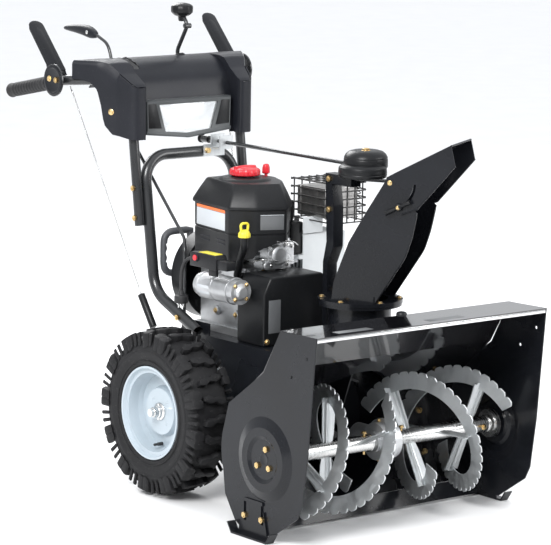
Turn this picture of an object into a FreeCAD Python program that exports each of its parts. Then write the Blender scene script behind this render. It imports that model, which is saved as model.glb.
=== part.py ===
"""Two stage snowblower, as a parametric FreeCAD document.

Frame: +Z up, +Y to the rear (towards the operator), the mouth of the auger housing faces -Y.
The origin is on the ground, under the middle of the wheel axle. Lengths are in millimetres.
"""
import FreeCAD, Part
import math
import os

import Sketcher

Vector = FreeCAD.Vector
Rotation = FreeCAD.Rotation
Placement = FreeCAD.Placement
UP = Vector(0, 0, 1)
ORIGIN = Vector(0, 0, 0)
ALONG = {"x": Vector(1, 0, 0), "y": Vector(0, 1, 0), "z": Vector(0, 0, 1)}

doc = FreeCAD.newDocument("TwoStageSnowblower")
sheet = doc.addObject("Spreadsheet::Sheet", "Sizes")

DRIVING_SIZES = {
    # auger housing
    "housing_half_width": 348, "plate": 3, "housing_front": -667, "housing_top": 492, "top_depth": 127,
    "auger_y": -492, "auger_z": 187, "auger_radius": 152, "shell_radius": 160, "auger_shaft_radius": 14.5,
    # impeller drum and chute
    "drum_radius": 153, "drum_rear": -224, "impeller_radius": 148, "impeller_shaft_radius": 9.5,
    "chute_x": 85, "chute_y": -300, "chute_half_width": 75, "collar_top": 480, "ring_radius": 102,
    "outlet_radius": 72, "pivot_forward": 95, "pivot_height": 779, "slot_radius": 61,
    # wheels and tractor frame
    "axle_z": 203, "axle_radius": 9.5, "wheel_centre_x": 261, "tyre_half_width": 61, "tyre_radius": 203,
    "rim_radius": 113, "frame_half_width": 122, "frame_front": -222, "frame_rear": 133, "deck_z": 367,
    # engine
    "crank_z": 491, "crank_radius": 12.5, "shroud_rim_z": 690, "shroud_top_z": 742,
    "belt_cover_half_width": 106, "belt_cover_front": -174, "belt_cover_rear": -67, "belt_cover_top": 533,
    # handles and console
    "handle_tube_radius": 14, "lower_leg_x": 137, "lower_bar_z": 781, "upper_tube_radius": 12.5,
    "upper_leg_x": 165, "grip_x": 270, "grip_end": 667, "grip_radius": 17.5, "lever_pivot_y": 456,
    "lever_pivot_z": 965, "console_half_width": 148, "console_skin": 3,
    # controls
    "rod_radius": 4.75, "rod_x": 80, "rod_z": 806, "cable_radius": 1.5, "sleeve_radius": 9.5,
    "running_gap": 0.05, "clear_gap": 0.4, "bolt_head_radius": 7.5, "bolt_head_height": 5,
}


class Size:
    """A length that carries its spreadsheet formula along with its value."""

    def __init__(self, value, formula):
        self.value = float(value)
        self.formula = formula

    def __add__(self, other):
        return Size(self.value + number(other), "(%s + %s)" % (self.formula, formula(other)))

    def __sub__(self, other):
        return Size(self.value - number(other), "(%s - %s)" % (self.formula, formula(other)))

    def __rsub__(self, other):
        return Size(number(other) - self.value, "(%s - %s)" % (formula(other), self.formula))

    def __mul__(self, factor):
        return Size(self.value * number(factor), "(%s * %s)" % (self.formula, formula(factor)))

    def __neg__(self):
        return Size(-self.value, "(0 - %s)" % self.formula)

    __radd__ = __add__
    __rmul__ = __mul__


def number(length):
    return length.value if isinstance(length, Size) else float(length)


def formula(length):
    return length.formula if isinstance(length, Size) else "(%r)" % float(length)


def fill_sheet():
    """Write the driving sizes into the sheet and return them by name."""
    sizes = {}
    for row, (alias, value) in enumerate(DRIVING_SIZES.items(), start=1):
        sheet.set("A%d" % row, alias)
        sheet.set("B%d" % row, str(value))
        sheet.setAlias("B%d" % row, alias)
        sizes[alias] = Size(value, "Sizes.%s" % alias)
    doc.recompute()
    return sizes


S = fill_sheet()
NODES = []


# ---------------------------------------------------------------- document helpers

def bind(thing, name, length):
    """Set a property, through the sheet where the length comes from it."""
    if "." not in name:
        setattr(thing, name, number(length))
    if isinstance(length, Size):
        thing.setExpression(name, length.formula)


def place(thing, spot, rotation=None):
    """Place an object at a spot whose coordinates may come from the sheet."""
    thing.Placement = Placement(Vector(*[number(v) for v in spot]), rotation or Rotation())
    for axis, length in zip("xyz", spot):
        if isinstance(length, Size):
            thing.setExpression("Placement.Base.%s" % axis, length.formula)
    return thing


def heading(direction):
    """A direction given as an axis letter or as a vector."""
    return ALONG[direction] if isinstance(direction, str) else direction


def node(thing, label):
    """Keep an object as a sub-part of the machine under its own label."""
    thing.Label = label
    NODES.append(thing)
    return thing


def box(low, high, name="Block"):
    block = doc.addObject("Part::Box", name)
    for side, start, end in zip(("Length", "Width", "Height"), low, high):
        bind(block, side, end - start)
    return place(block, low)


def turned_box(low, high, spot, rotation, name="Block"):
    """A block given about its own origin, then turned and set at a spot."""
    block = box((0, 0, 0), [end - start for start, end in zip(low, high)], name)
    shift = rotation.multVec(Vector(*[number(v) for v in low]))
    block.Placement = Placement(Vector(*[number(v) for v in spot]) + shift, rotation)
    return block


def rod(spot, direction, radius, length, name="Rod"):
    """A cylinder from a spot along a direction, which is a letter or a vector."""
    direction = heading(direction)
    cylinder = doc.addObject("Part::Cylinder", name)
    bind(cylinder, "Radius", radius)
    bind(cylinder, "Height", length)
    return place(cylinder, spot, Rotation(UP, direction))


def cone(spot, direction, radius, end_radius, length, name="Cone"):
    direction = heading(direction)
    tapered = doc.addObject("Part::Cone", name)
    bind(tapered, "Radius1", radius)
    bind(tapered, "Radius2", end_radius)
    bind(tapered, "Height", length)
    return place(tapered, spot, Rotation(UP, direction))


def hexagon(spot, direction, radius, length, name="Hex"):
    direction = heading(direction)
    prism = doc.addObject("Part::Prism", name)
    prism.Polygon = 6
    bind(prism, "Circumradius", radius)
    bind(prism, "Height", length)
    return place(prism, spot, Rotation(UP, direction))


def fuse(parts, name="Fusion"):
    if len(parts) == 1:
        return parts[0]
    joined = doc.addObject("Part::MultiFuse", name)
    joined.Shapes = parts
    joined.Refine = True
    return joined


def cut(base, tools, name="Cut"):
    taken = doc.addObject("Part::Cut", name)
    taken.Base = base
    taken.Tool = fuse(tools)
    taken.Refine = True
    return taken


def group(parts, name="Group"):
    """Separate solids that stay separate, such as a set of bolts."""
    compound = doc.addObject("Part::Compound", name)
    compound.Links = parts
    return compound


def pipe(spot, direction, outer, inner, length, name="Pipe"):
    """A round tube; the bore runs 1 mm past both ends."""
    direction = heading(direction)
    start = [v - 1 * d for v, d in zip(spot, direction)]
    return cut(rod(spot, direction, outer, length), [rod(start, direction, inner, length + 2)], name)


def bolt(spot, direction):
    """A hexagon head on a surface; the direction points out of the surface."""
    direction = heading(direction)
    head = hexagon(spot, direction, S["bolt_head_radius"], S["bolt_head_height"])
    tip = [v + number(S["bolt_head_height"]) * d for v, d in zip(spot, direction)]
    return fuse([head, cone(tip, direction, 4.5, 3.5, 2)])


def round_wire(points, bends):
    """Straight runs joined by tangent arcs; bends holds one radius for each inner point."""
    points = [Vector(*[number(v) for v in p]) for p in points]
    edges = []
    start = points[0]
    for index in range(1, len(points) - 1):
        before = (points[index - 1] - points[index]).normalize()
        after = (points[index + 1] - points[index]).normalize()
        half_angle = before.getAngle(after) / 2
        radius = bends[index - 1] if isinstance(bends, (list, tuple)) else bends
        setback = radius / math.tan(half_angle)
        centre = points[index] + (before + after).normalize() * (radius / math.sin(half_angle))
        enter = points[index] + before * setback
        leave = points[index] + after * setback
        middle = centre + (points[index] - centre).normalize() * radius
        edges.append(Part.LineSegment(start, enter).toShape())
        edges.append(Part.Arc(enter, middle, leave).toShape())
        start = leave
    edges.append(Part.LineSegment(start, points[-1]).toShape())
    return Part.Wire(edges)


def bent_rod(points, bends, radius, name="BentRod"):
    """A round bar or tube swept along straight runs and tangent arcs."""
    spine = doc.addObject("Part::Feature", name + "Path")
    spine.Shape = round_wire(points, bends)
    section = doc.addObject("Part::Circle", name + "Section")
    bind(section, "Radius", radius)
    first = Vector(*[number(v) for v in points[0]])
    onward = Vector(*[number(v) for v in points[1]]) - first
    section.Placement = Placement(first, Rotation(UP, onward))
    sweep = doc.addObject("Part::Sweep", name)
    sweep.Sections = [section]
    sweep.Spine = (spine, ["Edge%d" % (i + 1) for i in range(len(spine.Shape.Edges))])
    sweep.Solid = True
    sweep.Frenet = False
    return sweep


def bent_tube(points, bends, radius, wall, name="BentTube"):
    outer = bent_rod(points, bends, radius, name)
    inner = bent_rod(points, bends, radius - wall, name + "Bore")
    return cut(outer, [inner], name + "Hollow")


# ---------------------------------------------------------------- sketched bodies

def new_body(label):
    body = doc.addObject("PartDesign::Body", label)
    return node(body, label)


def loose_body(name):
    return doc.addObject("PartDesign::Body", name)


def sketch_on(body, plane, level=0):
    """A sketch on an origin plane of its body, moved by level along the plane's row axis."""
    sketch = body.newObject("Sketcher::SketchObject", body.Name + "Sketch")
    support = [f for f in body.Origin.OriginFeatures if f.Role == plane + "_Plane"][0]
    sketch.AttachmentSupport = [(support, "")]
    sketch.MapMode = "FlatFace"
    height = -number(level) if plane == "XZ" else number(level)
    sketch.AttachmentOffset = Placement(Vector(0, 0, height), Rotation())
    if isinstance(level, Size):
        text = level.formula if plane != "XZ" else "(0 - %s)" % level.formula
        sketch.setExpression("AttachmentOffset.Base.z", text)
    return sketch


def pin_point(sketch, edge, end, across=None, up=None):
    """Hold an end of an edge at its coordinates in the sketch."""
    for kind, length in (("DistanceX", across), ("DistanceY", up)):
        if length is None:
            continue
        index = sketch.addConstraint(Sketcher.Constraint(kind, -1, 1, edge, end, number(length)))
        if isinstance(length, Size):
            sketch.setExpression("Constraints[%d]" % index, length.formula)


def outline(sketch, corners):
    """A closed outline. A corner is (across, up), or (across, up, centre, turn) where an arc follows it.

    The turn is 1 for an anticlockwise arc and -1 for a clockwise one."""
    first = len(sketch.Geometry)
    count = len(corners)
    spots = [Vector(number(c[0]), number(c[1]), 0) for c in corners]
    start_end = []
    for index, corner in enumerate(corners):
        here, there = spots[index], spots[(index + 1) % count]
        if len(corner) == 2:
            sketch.addGeometry(Part.LineSegment(here, there), False)
            start_end.append((1, 2))
            continue
        centre = Vector(number(corner[2][0]), number(corner[2][1]), 0)
        circle = Part.Circle(centre, UP, (here - centre).Length)
        angles = [math.atan2((p - centre).y, (p - centre).x) for p in (here, there)]
        if corner[3] < 0:
            angles.reverse()
        sketch.addGeometry(Part.ArcOfCircle(circle, angles[0], angles[1]), False)
        start_end.append((1, 2) if corner[3] > 0 else (2, 1))
    for index in range(count):
        edge, following = first + index, first + (index + 1) % count
        end, start = start_end[index][1], start_end[(index + 1) % count][0]
        sketch.addConstraint(Sketcher.Constraint("Coincident", edge, end, following, start))
    for index, corner in enumerate(corners):
        edge, start = first + index, start_end[index][0]
        arc_before = len(corners[index - 1]) > 2
        if len(corner) > 2:
            pin_point(sketch, edge, 3, corner[2][0], corner[2][1])
        if arc_before:
            centre = corners[index - 1][2]
            offset = spots[index] - Vector(number(centre[0]), number(centre[1]), 0)
            if abs(offset.x) < abs(offset.y):
                pin_point(sketch, edge, start, corner[0], None)
            else:
                pin_point(sketch, edge, start, None, corner[1])
        else:
            pin_point(sketch, edge, start, corner[0], corner[1])
    return sketch


def hole(sketch, across, up, radius):
    """A full circle in a sketch."""
    spot = Vector(number(across), number(up), 0)
    edge = sketch.addGeometry(Part.Circle(spot, UP, number(radius)), False)
    pin_point(sketch, edge, 3, across, up)
    index = sketch.addConstraint(Sketcher.Constraint("Radius", edge, number(radius)))
    if isinstance(radius, Size):
        sketch.setExpression("Constraints[%d]" % index, radius.formula)
    return sketch


def pad(body, sketch, length, both_sides=False, backwards=False):
    feature = body.newObject("PartDesign::Pad", body.Name + "Pad")
    feature.Profile = sketch
    bind(feature, "Length", length)
    feature.SideType = "Symmetric" if both_sides else "One side"
    feature.Reversed = backwards
    return feature


def pocket(body, sketch, length, both_sides=False, backwards=False):
    feature = body.newObject("PartDesign::Pocket", body.Name + "Pocket")
    feature.Profile = sketch
    bind(feature, "Length", length)
    feature.SideType = "Symmetric" if both_sides else "One side"
    feature.Reversed = backwards
    return feature


def revolve(body, sketch, groove=False):
    """A full turn about the sketch's own construction line."""
    kind = "PartDesign::Groove" if groove else "PartDesign::Revolution"
    feature = body.newObject(kind, body.Name + "Turned")
    feature.Profile = sketch
    feature.ReferenceAxis = (sketch, ["Axis0"])
    feature.Angle = 360
    return feature


def turning_axis(sketch, up, across=0):
    """A construction line to turn about: level at a height, or upright when up is None."""
    reach = 400
    ends = ((-reach, up), (reach, up)) if up is not None else ((across, -reach), (across, reach))
    edge = sketch.addGeometry(Part.LineSegment(*[Vector(number(a), number(b), 0) for a, b in ends]), True)
    pin_point(sketch, edge, 1, *ends[0])
    pin_point(sketch, edge, 2, *ends[1])


def plate_body(body, plane, level, corners, thickness, holes=(), backwards=False):
    """Flat plate: an outline with round holes, padded from a level of a plane."""
    sketch = outline(sketch_on(body, plane, level), corners)
    for across, up, radius in holes:
        hole(sketch, across, up, radius)
    pad(body, sketch, thickness, backwards=backwards)
    return body


def turned_body(body, corners, axis_up, plane="XZ", level=0):
    sketch = sketch_on(body, plane, level)
    outline(sketch, corners)
    turning_axis(sketch, axis_up)
    revolve(body, sketch)
    return body


# ---------------------------------------------------------------- auger housing

HALF = S["housing_half_width"]
PLATE = S["plate"]
INNER = HALF - PLATE
AUGER_Y = S["auger_y"]
AUGER_Z = S["auger_z"]
FRONT = S["housing_front"]
TOP = S["housing_top"]


def on_circle(radius, degrees, centre=(AUGER_Y, AUGER_Z)):
    """A point of the sketch plane on a circle about the auger axis, or another centre."""
    angle = math.radians(degrees)
    return (centre[0] + radius * math.cos(angle), centre[1] + radius * math.sin(angle))


def shell_profile(inside):
    """Top plate, sloping back and rounded bottom, as seen from the side; inside is its hollow face."""
    radius = S["shell_radius"] if inside else S["shell_radius"] + PLATE
    skin = 0 if inside else PLATE
    slope_top = on_circle(radius, 50)
    knee = on_circle(118, 140, slope_top)
    back_top = FRONT + S["top_depth"]
    return [(FRONT, TOP + skin - PLATE), (back_top + skin * 0.6, TOP + skin - PLATE - 2), knee, slope_top,
            on_circle(radius, -65)]


def make_auger_housing():
    body = new_body("auger_housing")
    arc = ((AUGER_Y, AUGER_Z), -1)
    outer = shell_profile(False)
    inner = shell_profile(True)
    back_arc = ((AUGER_Y, AUGER_Z), 1)
    corners = outer[:3] + [outer[3] + arc, outer[4], inner[4] + back_arc, inner[3], inner[2], inner[1],
                           inner[0]]
    pad(body, outline(sketch_on(body, "YZ"), corners), INNER * 2, both_sides=True)
    opening = hole(sketch_on(body, "XZ", AUGER_Y), 0, AUGER_Z, S["drum_radius"])
    pocket(body, opening, 250, backwards=False)
    return body


def housing_filled(name):
    """The room inside the housing as a solid, used to trim what is welded to its back."""
    body = loose_body(name)
    outer = shell_profile(False)
    arc = ((AUGER_Y, AUGER_Z), -1)
    corners = outer[:3] + [outer[3] + arc, outer[4], (AUGER_Y - 30, 0)]
    pad(body, outline(sketch_on(body, "YZ"), corners), HALF * 2, both_sides=True)
    return body


def make_side_plate(label, side):
    """Flat side of the housing with a pressed round dish for the bearing."""
    body = new_body(label)
    low_rear = on_circle(182, -36)
    corners = [(FRONT, TOP), (FRONT + S["top_depth"], TOP - 3), on_circle(198, 87), on_circle(174, 38),
               on_circle(163, 12) + ((AUGER_Y, AUGER_Z), -1), on_circle(163, -18), low_rear,
               (AUGER_Y + 108, 24), (AUGER_Y + 85, 12), (AUGER_Y - 28, 12), (AUGER_Y - 119, 72),
               (AUGER_Y - 135, 103), (AUGER_Y - 152, 223)]
    level = INNER if side > 0 else -HALF
    drift_holes = [(FRONT + 32, 441, 4), (FRONT + 85, 392, 4)]
    plate_body(body, "YZ", level, corners, PLATE, drift_holes + [(AUGER_Y, AUGER_Z, 96)])
    dish = sketch_on(body, "XY", AUGER_Z)
    face, back = (HALF * side, INNER * side)
    out = side * 9
    ring = [(back, AUGER_Y + 98), (face, AUGER_Y + 98), (face + out, AUGER_Y + 74),
            (face + out, AUGER_Y + 55),
            (face + out * 0.4, AUGER_Y + 46), (face + out * 0.4, AUGER_Y + 16),
            (back + out * 0.4, AUGER_Y + 16),
            (back + out * 0.4, AUGER_Y + 49), (back + out, AUGER_Y + 56), (back + out, AUGER_Y + 72),
            (back, AUGER_Y + 94)]
    outline(dish, ring)
    turning_axis(dish, AUGER_Y)
    revolve(body, dish)
    return body


def make_scraper_bar():
    body = new_body("scraper_bar")
    heel = on_circle(S["shell_radius"] + PLATE + 0.2, -65)
    corners = [heel, (heel[0] - 24, 6), (heel[0] - 29, 6), (heel[0] - 6.2, heel[1] + 1)]
    pad(body, outline(sketch_on(body, "YZ"), corners), INNER * 2, both_sides=True)
    return body


def make_skid_shoe(name, side):
    """Adjustable shoe: an upright plate with two slots on a runner with turned-up ends."""
    body = loose_body(name)
    level = HALF + 0.1 if side > 0 else -(HALF + 4.1)
    rear, front = AUGER_Y + 92, AUGER_Y - 18
    corners = [(rear, 0), (rear - 22, 86), (front + 22, 86), (front, 0)]
    plate_body(body, "YZ", level, corners, 4)
    slots = sketch_on(body, "YZ", level - 1)
    for centre in (AUGER_Y + 66, AUGER_Y + 3):
        outline(slots, [(centre - 4.5, 34), (centre + 4.5, 34), (centre + 4.5, 78), (centre - 4.5, 78)])
    pocket(body, slots, 6, backwards=True)
    tip_rear, tip_front = AUGER_Y + 111, AUGER_Y - 51
    runner = sketch_on(body, "YZ", HALF + 0.1 if side > 0 else -(HALF + 22.1))
    outline(runner, [(tip_front, 24), (tip_front + 16, 0), (tip_rear - 16, 0), (tip_rear, 24),
                     (tip_rear - 4.5, 24), (tip_rear - 18, 4), (tip_front + 18, 4), (tip_front + 4.5, 24)])
    pad(body, runner, 22)
    return body


def make_skid_shoes():
    return node(group([make_skid_shoe("ShoeRight", -1), make_skid_shoe("ShoeLeft", 1)]), "skid_shoes")


def make_impeller_drum():
    """Round drum behind the housing with the upright outlet pipe to the chute."""
    bore, wall = S["drum_radius"], PLATE
    drum_start = (0, AUGER_Y + 70, AUGER_Z)
    depth = S["drum_rear"] - AUGER_Y - 70
    outlet_foot = (S["chute_x"], S["chute_y"], AUGER_Z)
    outlet_length = S["collar_top"] - 6 - AUGER_Z
    outside = fuse([rod(drum_start, "y", bore + wall, depth),
                    rod(outlet_foot, "z", S["outlet_radius"] + wall, outlet_length),
                    rod((S["chute_x"], S["chute_y"], S["collar_top"] - 6), "z", S["ring_radius"] - 2, 6)])
    hollow = fuse([rod(drum_start, "y", bore, depth - wall),
                   rod(outlet_foot, "z", S["outlet_radius"], outlet_length + 15),
                   rod(drum_start, "y", S["impeller_shaft_radius"] + S["running_gap"], depth + 20)])
    welded = cut(cut(outside, [housing_filled("HousingRoom")]), [hollow])
    return node(welded, "impeller_drum")


# ---------------------------------------------------------------- auger and impeller

def make_auger_shaft():
    reach = INNER - 2
    return node(rod((-reach, AUGER_Y, AUGER_Z), "x", S["auger_shaft_radius"], reach * 2), "auger_shaft")


FLIGHT_PITCH = 280
FLIGHT_TURN = 0.86
FLIGHT_PHASE = {1: 112, -1: 27}
FLIGHT_STEEL = 4
RIBBON = 42


def flight(start_x, start_degrees, hand, name):
    """One ribbon of the auger: two helixes ruled together and thickened along the shaft."""
    curves = []
    for radius in (S["auger_radius"], S["auger_radius"] - RIBBON):
        helix = doc.addObject("Part::Helix", name + "Edge")
        bind(helix, "Radius", radius)
        helix.Pitch = FLIGHT_PITCH
        helix.Height = FLIGHT_PITCH * FLIGHT_TURN
        helix.LocalCoord = "Right-handed" if hand > 0 else "Left-handed"
        helix.Placement = Placement(Vector(start_x, number(AUGER_Y), number(AUGER_Z)),
                                    Rotation(ALONG["x"], start_degrees) * Rotation(UP, ALONG["x"]))
        curves.append(helix)
    strip = doc.addObject("Part::RuledSurface", name + "Strip")
    strip.Curve1 = (curves[0], ["Edge1"])
    strip.Curve2 = (curves[1], ["Edge1"])
    ribbon = doc.addObject("Part::Extrusion", name + "Ribbon")
    ribbon.Base = strip
    ribbon.DirMode = "Custom"
    ribbon.Dir = ALONG["x"]
    ribbon.LengthFwd = FLIGHT_STEEL
    ribbon.Solid = False
    return ribbon


def arm(x, degrees):
    """Flat support from the sleeve out to a ribbon, with its free end under the ribbon's inner edge."""
    turn = Rotation(ALONG["x"], degrees)
    reach = number(S["auger_radius"]) - RIBBON + 12
    return turned_box((-19, -2.5, 15), (19, 2.5, reach), (x, AUGER_Y, AUGER_Z), turn)


def make_auger(label, side):
    """Sleeve, two ribbons half a turn apart, and the arms that carry them."""
    near, far = 38, 326
    low = near if side > 0 else -far
    sleeve = pipe((low, AUGER_Y, AUGER_Z), "x", 19, S["auger_shaft_radius"] + S["running_gap"], far - near)
    solids = [sleeve]
    start = 46
    for half in (FLIGHT_PHASE[side], FLIGHT_PHASE[side] + 180):
        first = start if side > 0 else -start - FLIGHT_PITCH * FLIGHT_TURN - FLIGHT_STEEL
        angle = half + 180 + (0 if side > 0 else 360 * FLIGHT_TURN)
        solids.append(flight(first, angle, side, label + str(half)))
        for share in (0.12, 0.5, 0.88):
            travel = FLIGHT_PITCH * FLIGHT_TURN * share
            x = start + travel + FLIGHT_STEEL / 2
            degrees = half + 360 * FLIGHT_TURN * share
            solids.append(arm(x * side, degrees))
    return node(fuse(solids), label)


def make_auger_gear_case():
    """Worm case in the middle of the auger shaft; the halves meet at a bolted flange."""
    shaft_bore = rod((-60, AUGER_Y, AUGER_Z), "x", S["auger_shaft_radius"] + S["running_gap"], 120)
    worm_bore = rod((0, AUGER_Y + 10, AUGER_Z), "y", S["impeller_shaft_radius"] + S["running_gap"], 120)
    wheel_case = fuse([rod((-24, AUGER_Y, AUGER_Z), "x", 44, 48), rod((-32, AUGER_Y, AUGER_Z), "x", 24, 64),
                       rod((0, AUGER_Y + 25, AUGER_Z), "y", 27, 65),
                       rod((-4, AUGER_Y, AUGER_Z), "x", 52, 8)])
    hollow = fuse([rod((-19, AUGER_Y, AUGER_Z), "x", 39, 38), shaft_bore, worm_bore])
    return node(cut(wheel_case, [hollow]), "auger_gear_case")


def make_impeller():
    """Four-bladed impeller on its shaft, with the belt pulley at the shaft's rear end."""
    shaft = rod((0, AUGER_Y + 45, AUGER_Z), "y", S["impeller_shaft_radius"], 340)
    hub = rod((0, -322, AUGER_Z), "y", 26, 82)
    parts = [shaft, hub]
    for degrees in (20, 110, 200, 290):
        turn = Rotation(ALONG["y"], degrees)
        parts.append(turned_box((-2, 0, 20), (2, 84, S["impeller_radius"] - 2), (0, -324, AUGER_Z), turn))
        tip = number(S["impeller_radius"]) - 26
        parts.append(turned_box((-2, 0, tip - 4), (26, 84, tip), (0, -324, AUGER_Z), turn))
    pulley = pulley_solid(AUGER_BELT_Y, AUGER_PULLEY_RADIUS, AUGER_Z)
    return node(fuse(parts + [pulley]), "impeller")


def pulley_solid(y, radius, z, bore=None, x=0):
    """A V pulley 16 mm wide, centred at y."""
    wheel = fuse([cone((x, y - 8, z), "y", radius, radius - 8, 8),
                  cone((x, y, z), "y", radius - 8, radius, 8)])
    if bore is None:
        return wheel
    return cut(wheel, [rod((x, y - 20, z), "y", bore, 40)])


# ---------------------------------------------------------------- wheels

def make_rim(name, side):
    """Pressed steel rim: deep stepped dish with flanges for the tyre."""
    body = loose_body(name)
    c, z = S["wheel_centre_x"] * side, S["axle_z"]
    profile = [(-55, 113), (-55, 108), (-46, 104), (-46, 96), (-20, 92), (-8, 88), (-8, 62), (-22, 56),
               (-22, 13),
               (-18, 13), (-18, 52), (-4, 59), (-4, 84), (20, 88), (46, 96), (46, 104), (55, 108),
               (55, 113),
               (51, 113), (51, 111), (42, 107), (42, 100), (20, 93), (-20, 97), (-42, 100), (-42, 107),
               (-51, 111), (-51, 113)]
    corners = [(c - side * across, z + up) for across, up in reversed(profile)]
    return turned_body(body, corners, z)


def make_rims():
    return node(group([make_rim("RimRight", -1), make_rim("RimLeft", 1)]), "rims")


def make_tyre(name, side):
    """Snow tyre with chunky centre blocks and side lugs."""
    body = loose_body(name)
    c, z = S["wheel_centre_x"] * side, S["axle_z"]
    outer, half = S["tyre_radius"], S["tyre_half_width"]
    tread = outer - 14
    half_profile = [(38, 100.4), (41.6, 100.9), (41.6, 107.4), (50.5, 113.6), (number(half) - 3, 140),
                    (half, 160), (number(half) - 6, 180), (42, tread)]
    cavity = [(48, 150), (30, 178)]
    corners = [(c - across, z + up) for across, up in half_profile]
    corners += [(c + across, z + up) for across, up in reversed(half_profile)]
    corners += [(c + across, z + up) for across, up in cavity]
    corners += [(c - across, z + up) for across, up in reversed(cavity)]
    turned_body(body, corners, z)
    lugs = []
    count = 22
    for index in range(count):
        degrees = 360 * index / count
        turn = Rotation(ALONG["x"], degrees)
        hub = (c, 0, z)
        lugs.append(turned_box((-16, -13, 180), (16, 13, outer - 0.5), hub, turn))
        between = Rotation(ALONG["x"], degrees + 180 / count)
        for edge in (-1, 1):
            low, high = sorted((edge * 20, edge * (number(half) - 1)))
            lugs.append(turned_box((low, -12, 158), (high, 12, outer - 6), hub, between))
    return fuse([body] + lugs)


def make_tyres():
    return node(group([make_tyre("TyreRight", -1), make_tyre("TyreLeft", 1)]), "tyres")


def make_axle_shaft():
    """Wheel axle with its driven gear, the hub sleeves and the locking pins."""
    reach = S["wheel_centre_x"] + 52
    shaft = rod((-reach, 0, S["axle_z"]), "x", S["axle_radius"], reach * 2)
    parts = [shaft]
    for side in (-1, 1):
        hub_start = (S["wheel_centre_x"] * side - 30, 0, S["axle_z"])
        parts.append(rod(hub_start, "x", 12.9, 60))
        pin_x = S["wheel_centre_x"] * side + side * 26.5
        parts.append(rod((pin_x, 0, S["axle_z"] - 20), "z", 3, 40))
    gear = rod((60, 0, S["axle_z"]), "x", AXLE_GEAR_RADIUS, 10)
    return node(fuse(parts + [gear]), "axle_shaft")


# ---------------------------------------------------------------- tractor frame and drive

AUGER_BELT_Y, DRIVE_BELT_Y = -140, -108
AUGER_PULLEY_RADIUS, ENGINE_AUGER_PULLEY = 105, 30
DISC_PULLEY_RADIUS, ENGINE_DRIVE_PULLEY = 58, 26
DISC_Z = 290
CROSS_Y, CROSS_Z = -19, DISC_Z
CROSS_RADIUS = 8
CROSS_PINION_RADIUS = 26.6
AXLE_GEAR_RADIUS = 62


def make_tractor_frame():
    """Folded steel box under the engine, deeper round the auger belt, and its two bottom covers."""
    half, front, rear, deck = S["frame_half_width"], S["frame_front"], S["frame_rear"], S["deck_z"]
    belt_rear = -98
    outside = box((-half, front, 130), (half, rear, deck))
    belt_box = box((-half, front, 70), (half, belt_rear, 131))
    belt_room = box((-half + PLATE, front + PLATE, 60), (half - PLATE, belt_rear - PLATE, 135))
    ears = [box((-half, 20, deck - 1), (-half + PLATE, rear, deck + 30)),
            box((half - PLATE, 20, deck - 1), (half, rear, deck + 30))]
    hollow = box((-half + PLATE, front + PLATE, 129), (half - PLATE, rear - PLATE, deck - PLATE))
    belt_opening = box((-95, -165, deck - 20), (95, -76, deck + 20))
    axle_hole = rod((-200, 0, S["axle_z"]), "x", 20, 400)
    shaft_hole = rod((0, front - 20, AUGER_Z), "y", 14, 40)
    drive_room = rod((-200, CROSS_Y, CROSS_Z), "x", 11.2, 400)
    tools = [hollow, belt_room, belt_opening, axle_hole, shaft_hole, drive_room]
    shell = cut(fuse([outside, belt_box] + ears), tools)
    edge = PLATE + 0.5
    rear_cover = box((-half + edge, belt_rear + 0.5, 131), (half - edge, rear - edge, 133))
    front_cover = box((-half + edge, front + edge, 71), (half - edge, belt_rear - edge, 73))
    return node(group([shell, rear_cover, front_cover]), "tractor_frame")


def make_bearings():
    """Flanged bearings: two for the auger shaft, two for the axle, two for the cross shaft."""
    rings = []
    for side in (-1, 1):
        auger_seat = ((INNER - 9) * side - 7, AUGER_Y, AUGER_Z)
        axle_seat = (S["frame_half_width"] * side - 8, 0, S["axle_z"])
        cross_seat = (S["frame_half_width"] * side - 6, CROSS_Y, CROSS_Z)
        rings.append(pipe(auger_seat, "x", 34, S["auger_shaft_radius"] + S["running_gap"], 14))
        rings.append(pipe(axle_seat, "x", 19.8, S["axle_radius"] + S["running_gap"], 16))
        rings.append(pipe(cross_seat, "x", 11, CROSS_RADIUS + number(S["running_gap"]), 12))
    return node(group(rings), "bearings")


def make_belt_cover():
    body = new_body("belt_cover")
    half, top, foot = S["belt_cover_half_width"], S["belt_cover_top"], S["deck_z"] + 0.2
    depth = S["belt_cover_rear"] - S["belt_cover_front"]
    shape = [(-half, foot), (-half, top - 40), (-half + 20, top), (half - 34, top), (half, top - 34),
             (half, foot)]
    pad(body, outline(sketch_on(body, "XZ", S["belt_cover_front"]), shape), depth, backwards=True)
    w = 2.5
    room = [(-half + w, foot - 5), (-half + w, top - 41), (-half + 21, top - w), (half - 35, top - w),
            (half - w, top - 35), (half - w, foot - 5)]
    pocket(body, outline(sketch_on(body, "XZ", S["belt_cover_front"] + w), room), depth + 10,
           backwards=False)
    return body


def make_crankshaft():
    """Crankshaft with its two belt pulleys in front and the flywheel behind."""
    shaft = rod((0, -158, S["crank_z"]), "y", S["crank_radius"], 320)
    flywheel = rod((0, 150, S["crank_z"]), "y", 50, 14)
    pulleys = [pulley_solid(AUGER_BELT_Y, ENGINE_AUGER_PULLEY, S["crank_z"]),
               pulley_solid(DRIVE_BELT_Y, ENGINE_DRIVE_PULLEY, S["crank_z"])]
    return node(fuse([shaft, flywheel] + pulleys), "crankshaft")


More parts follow.
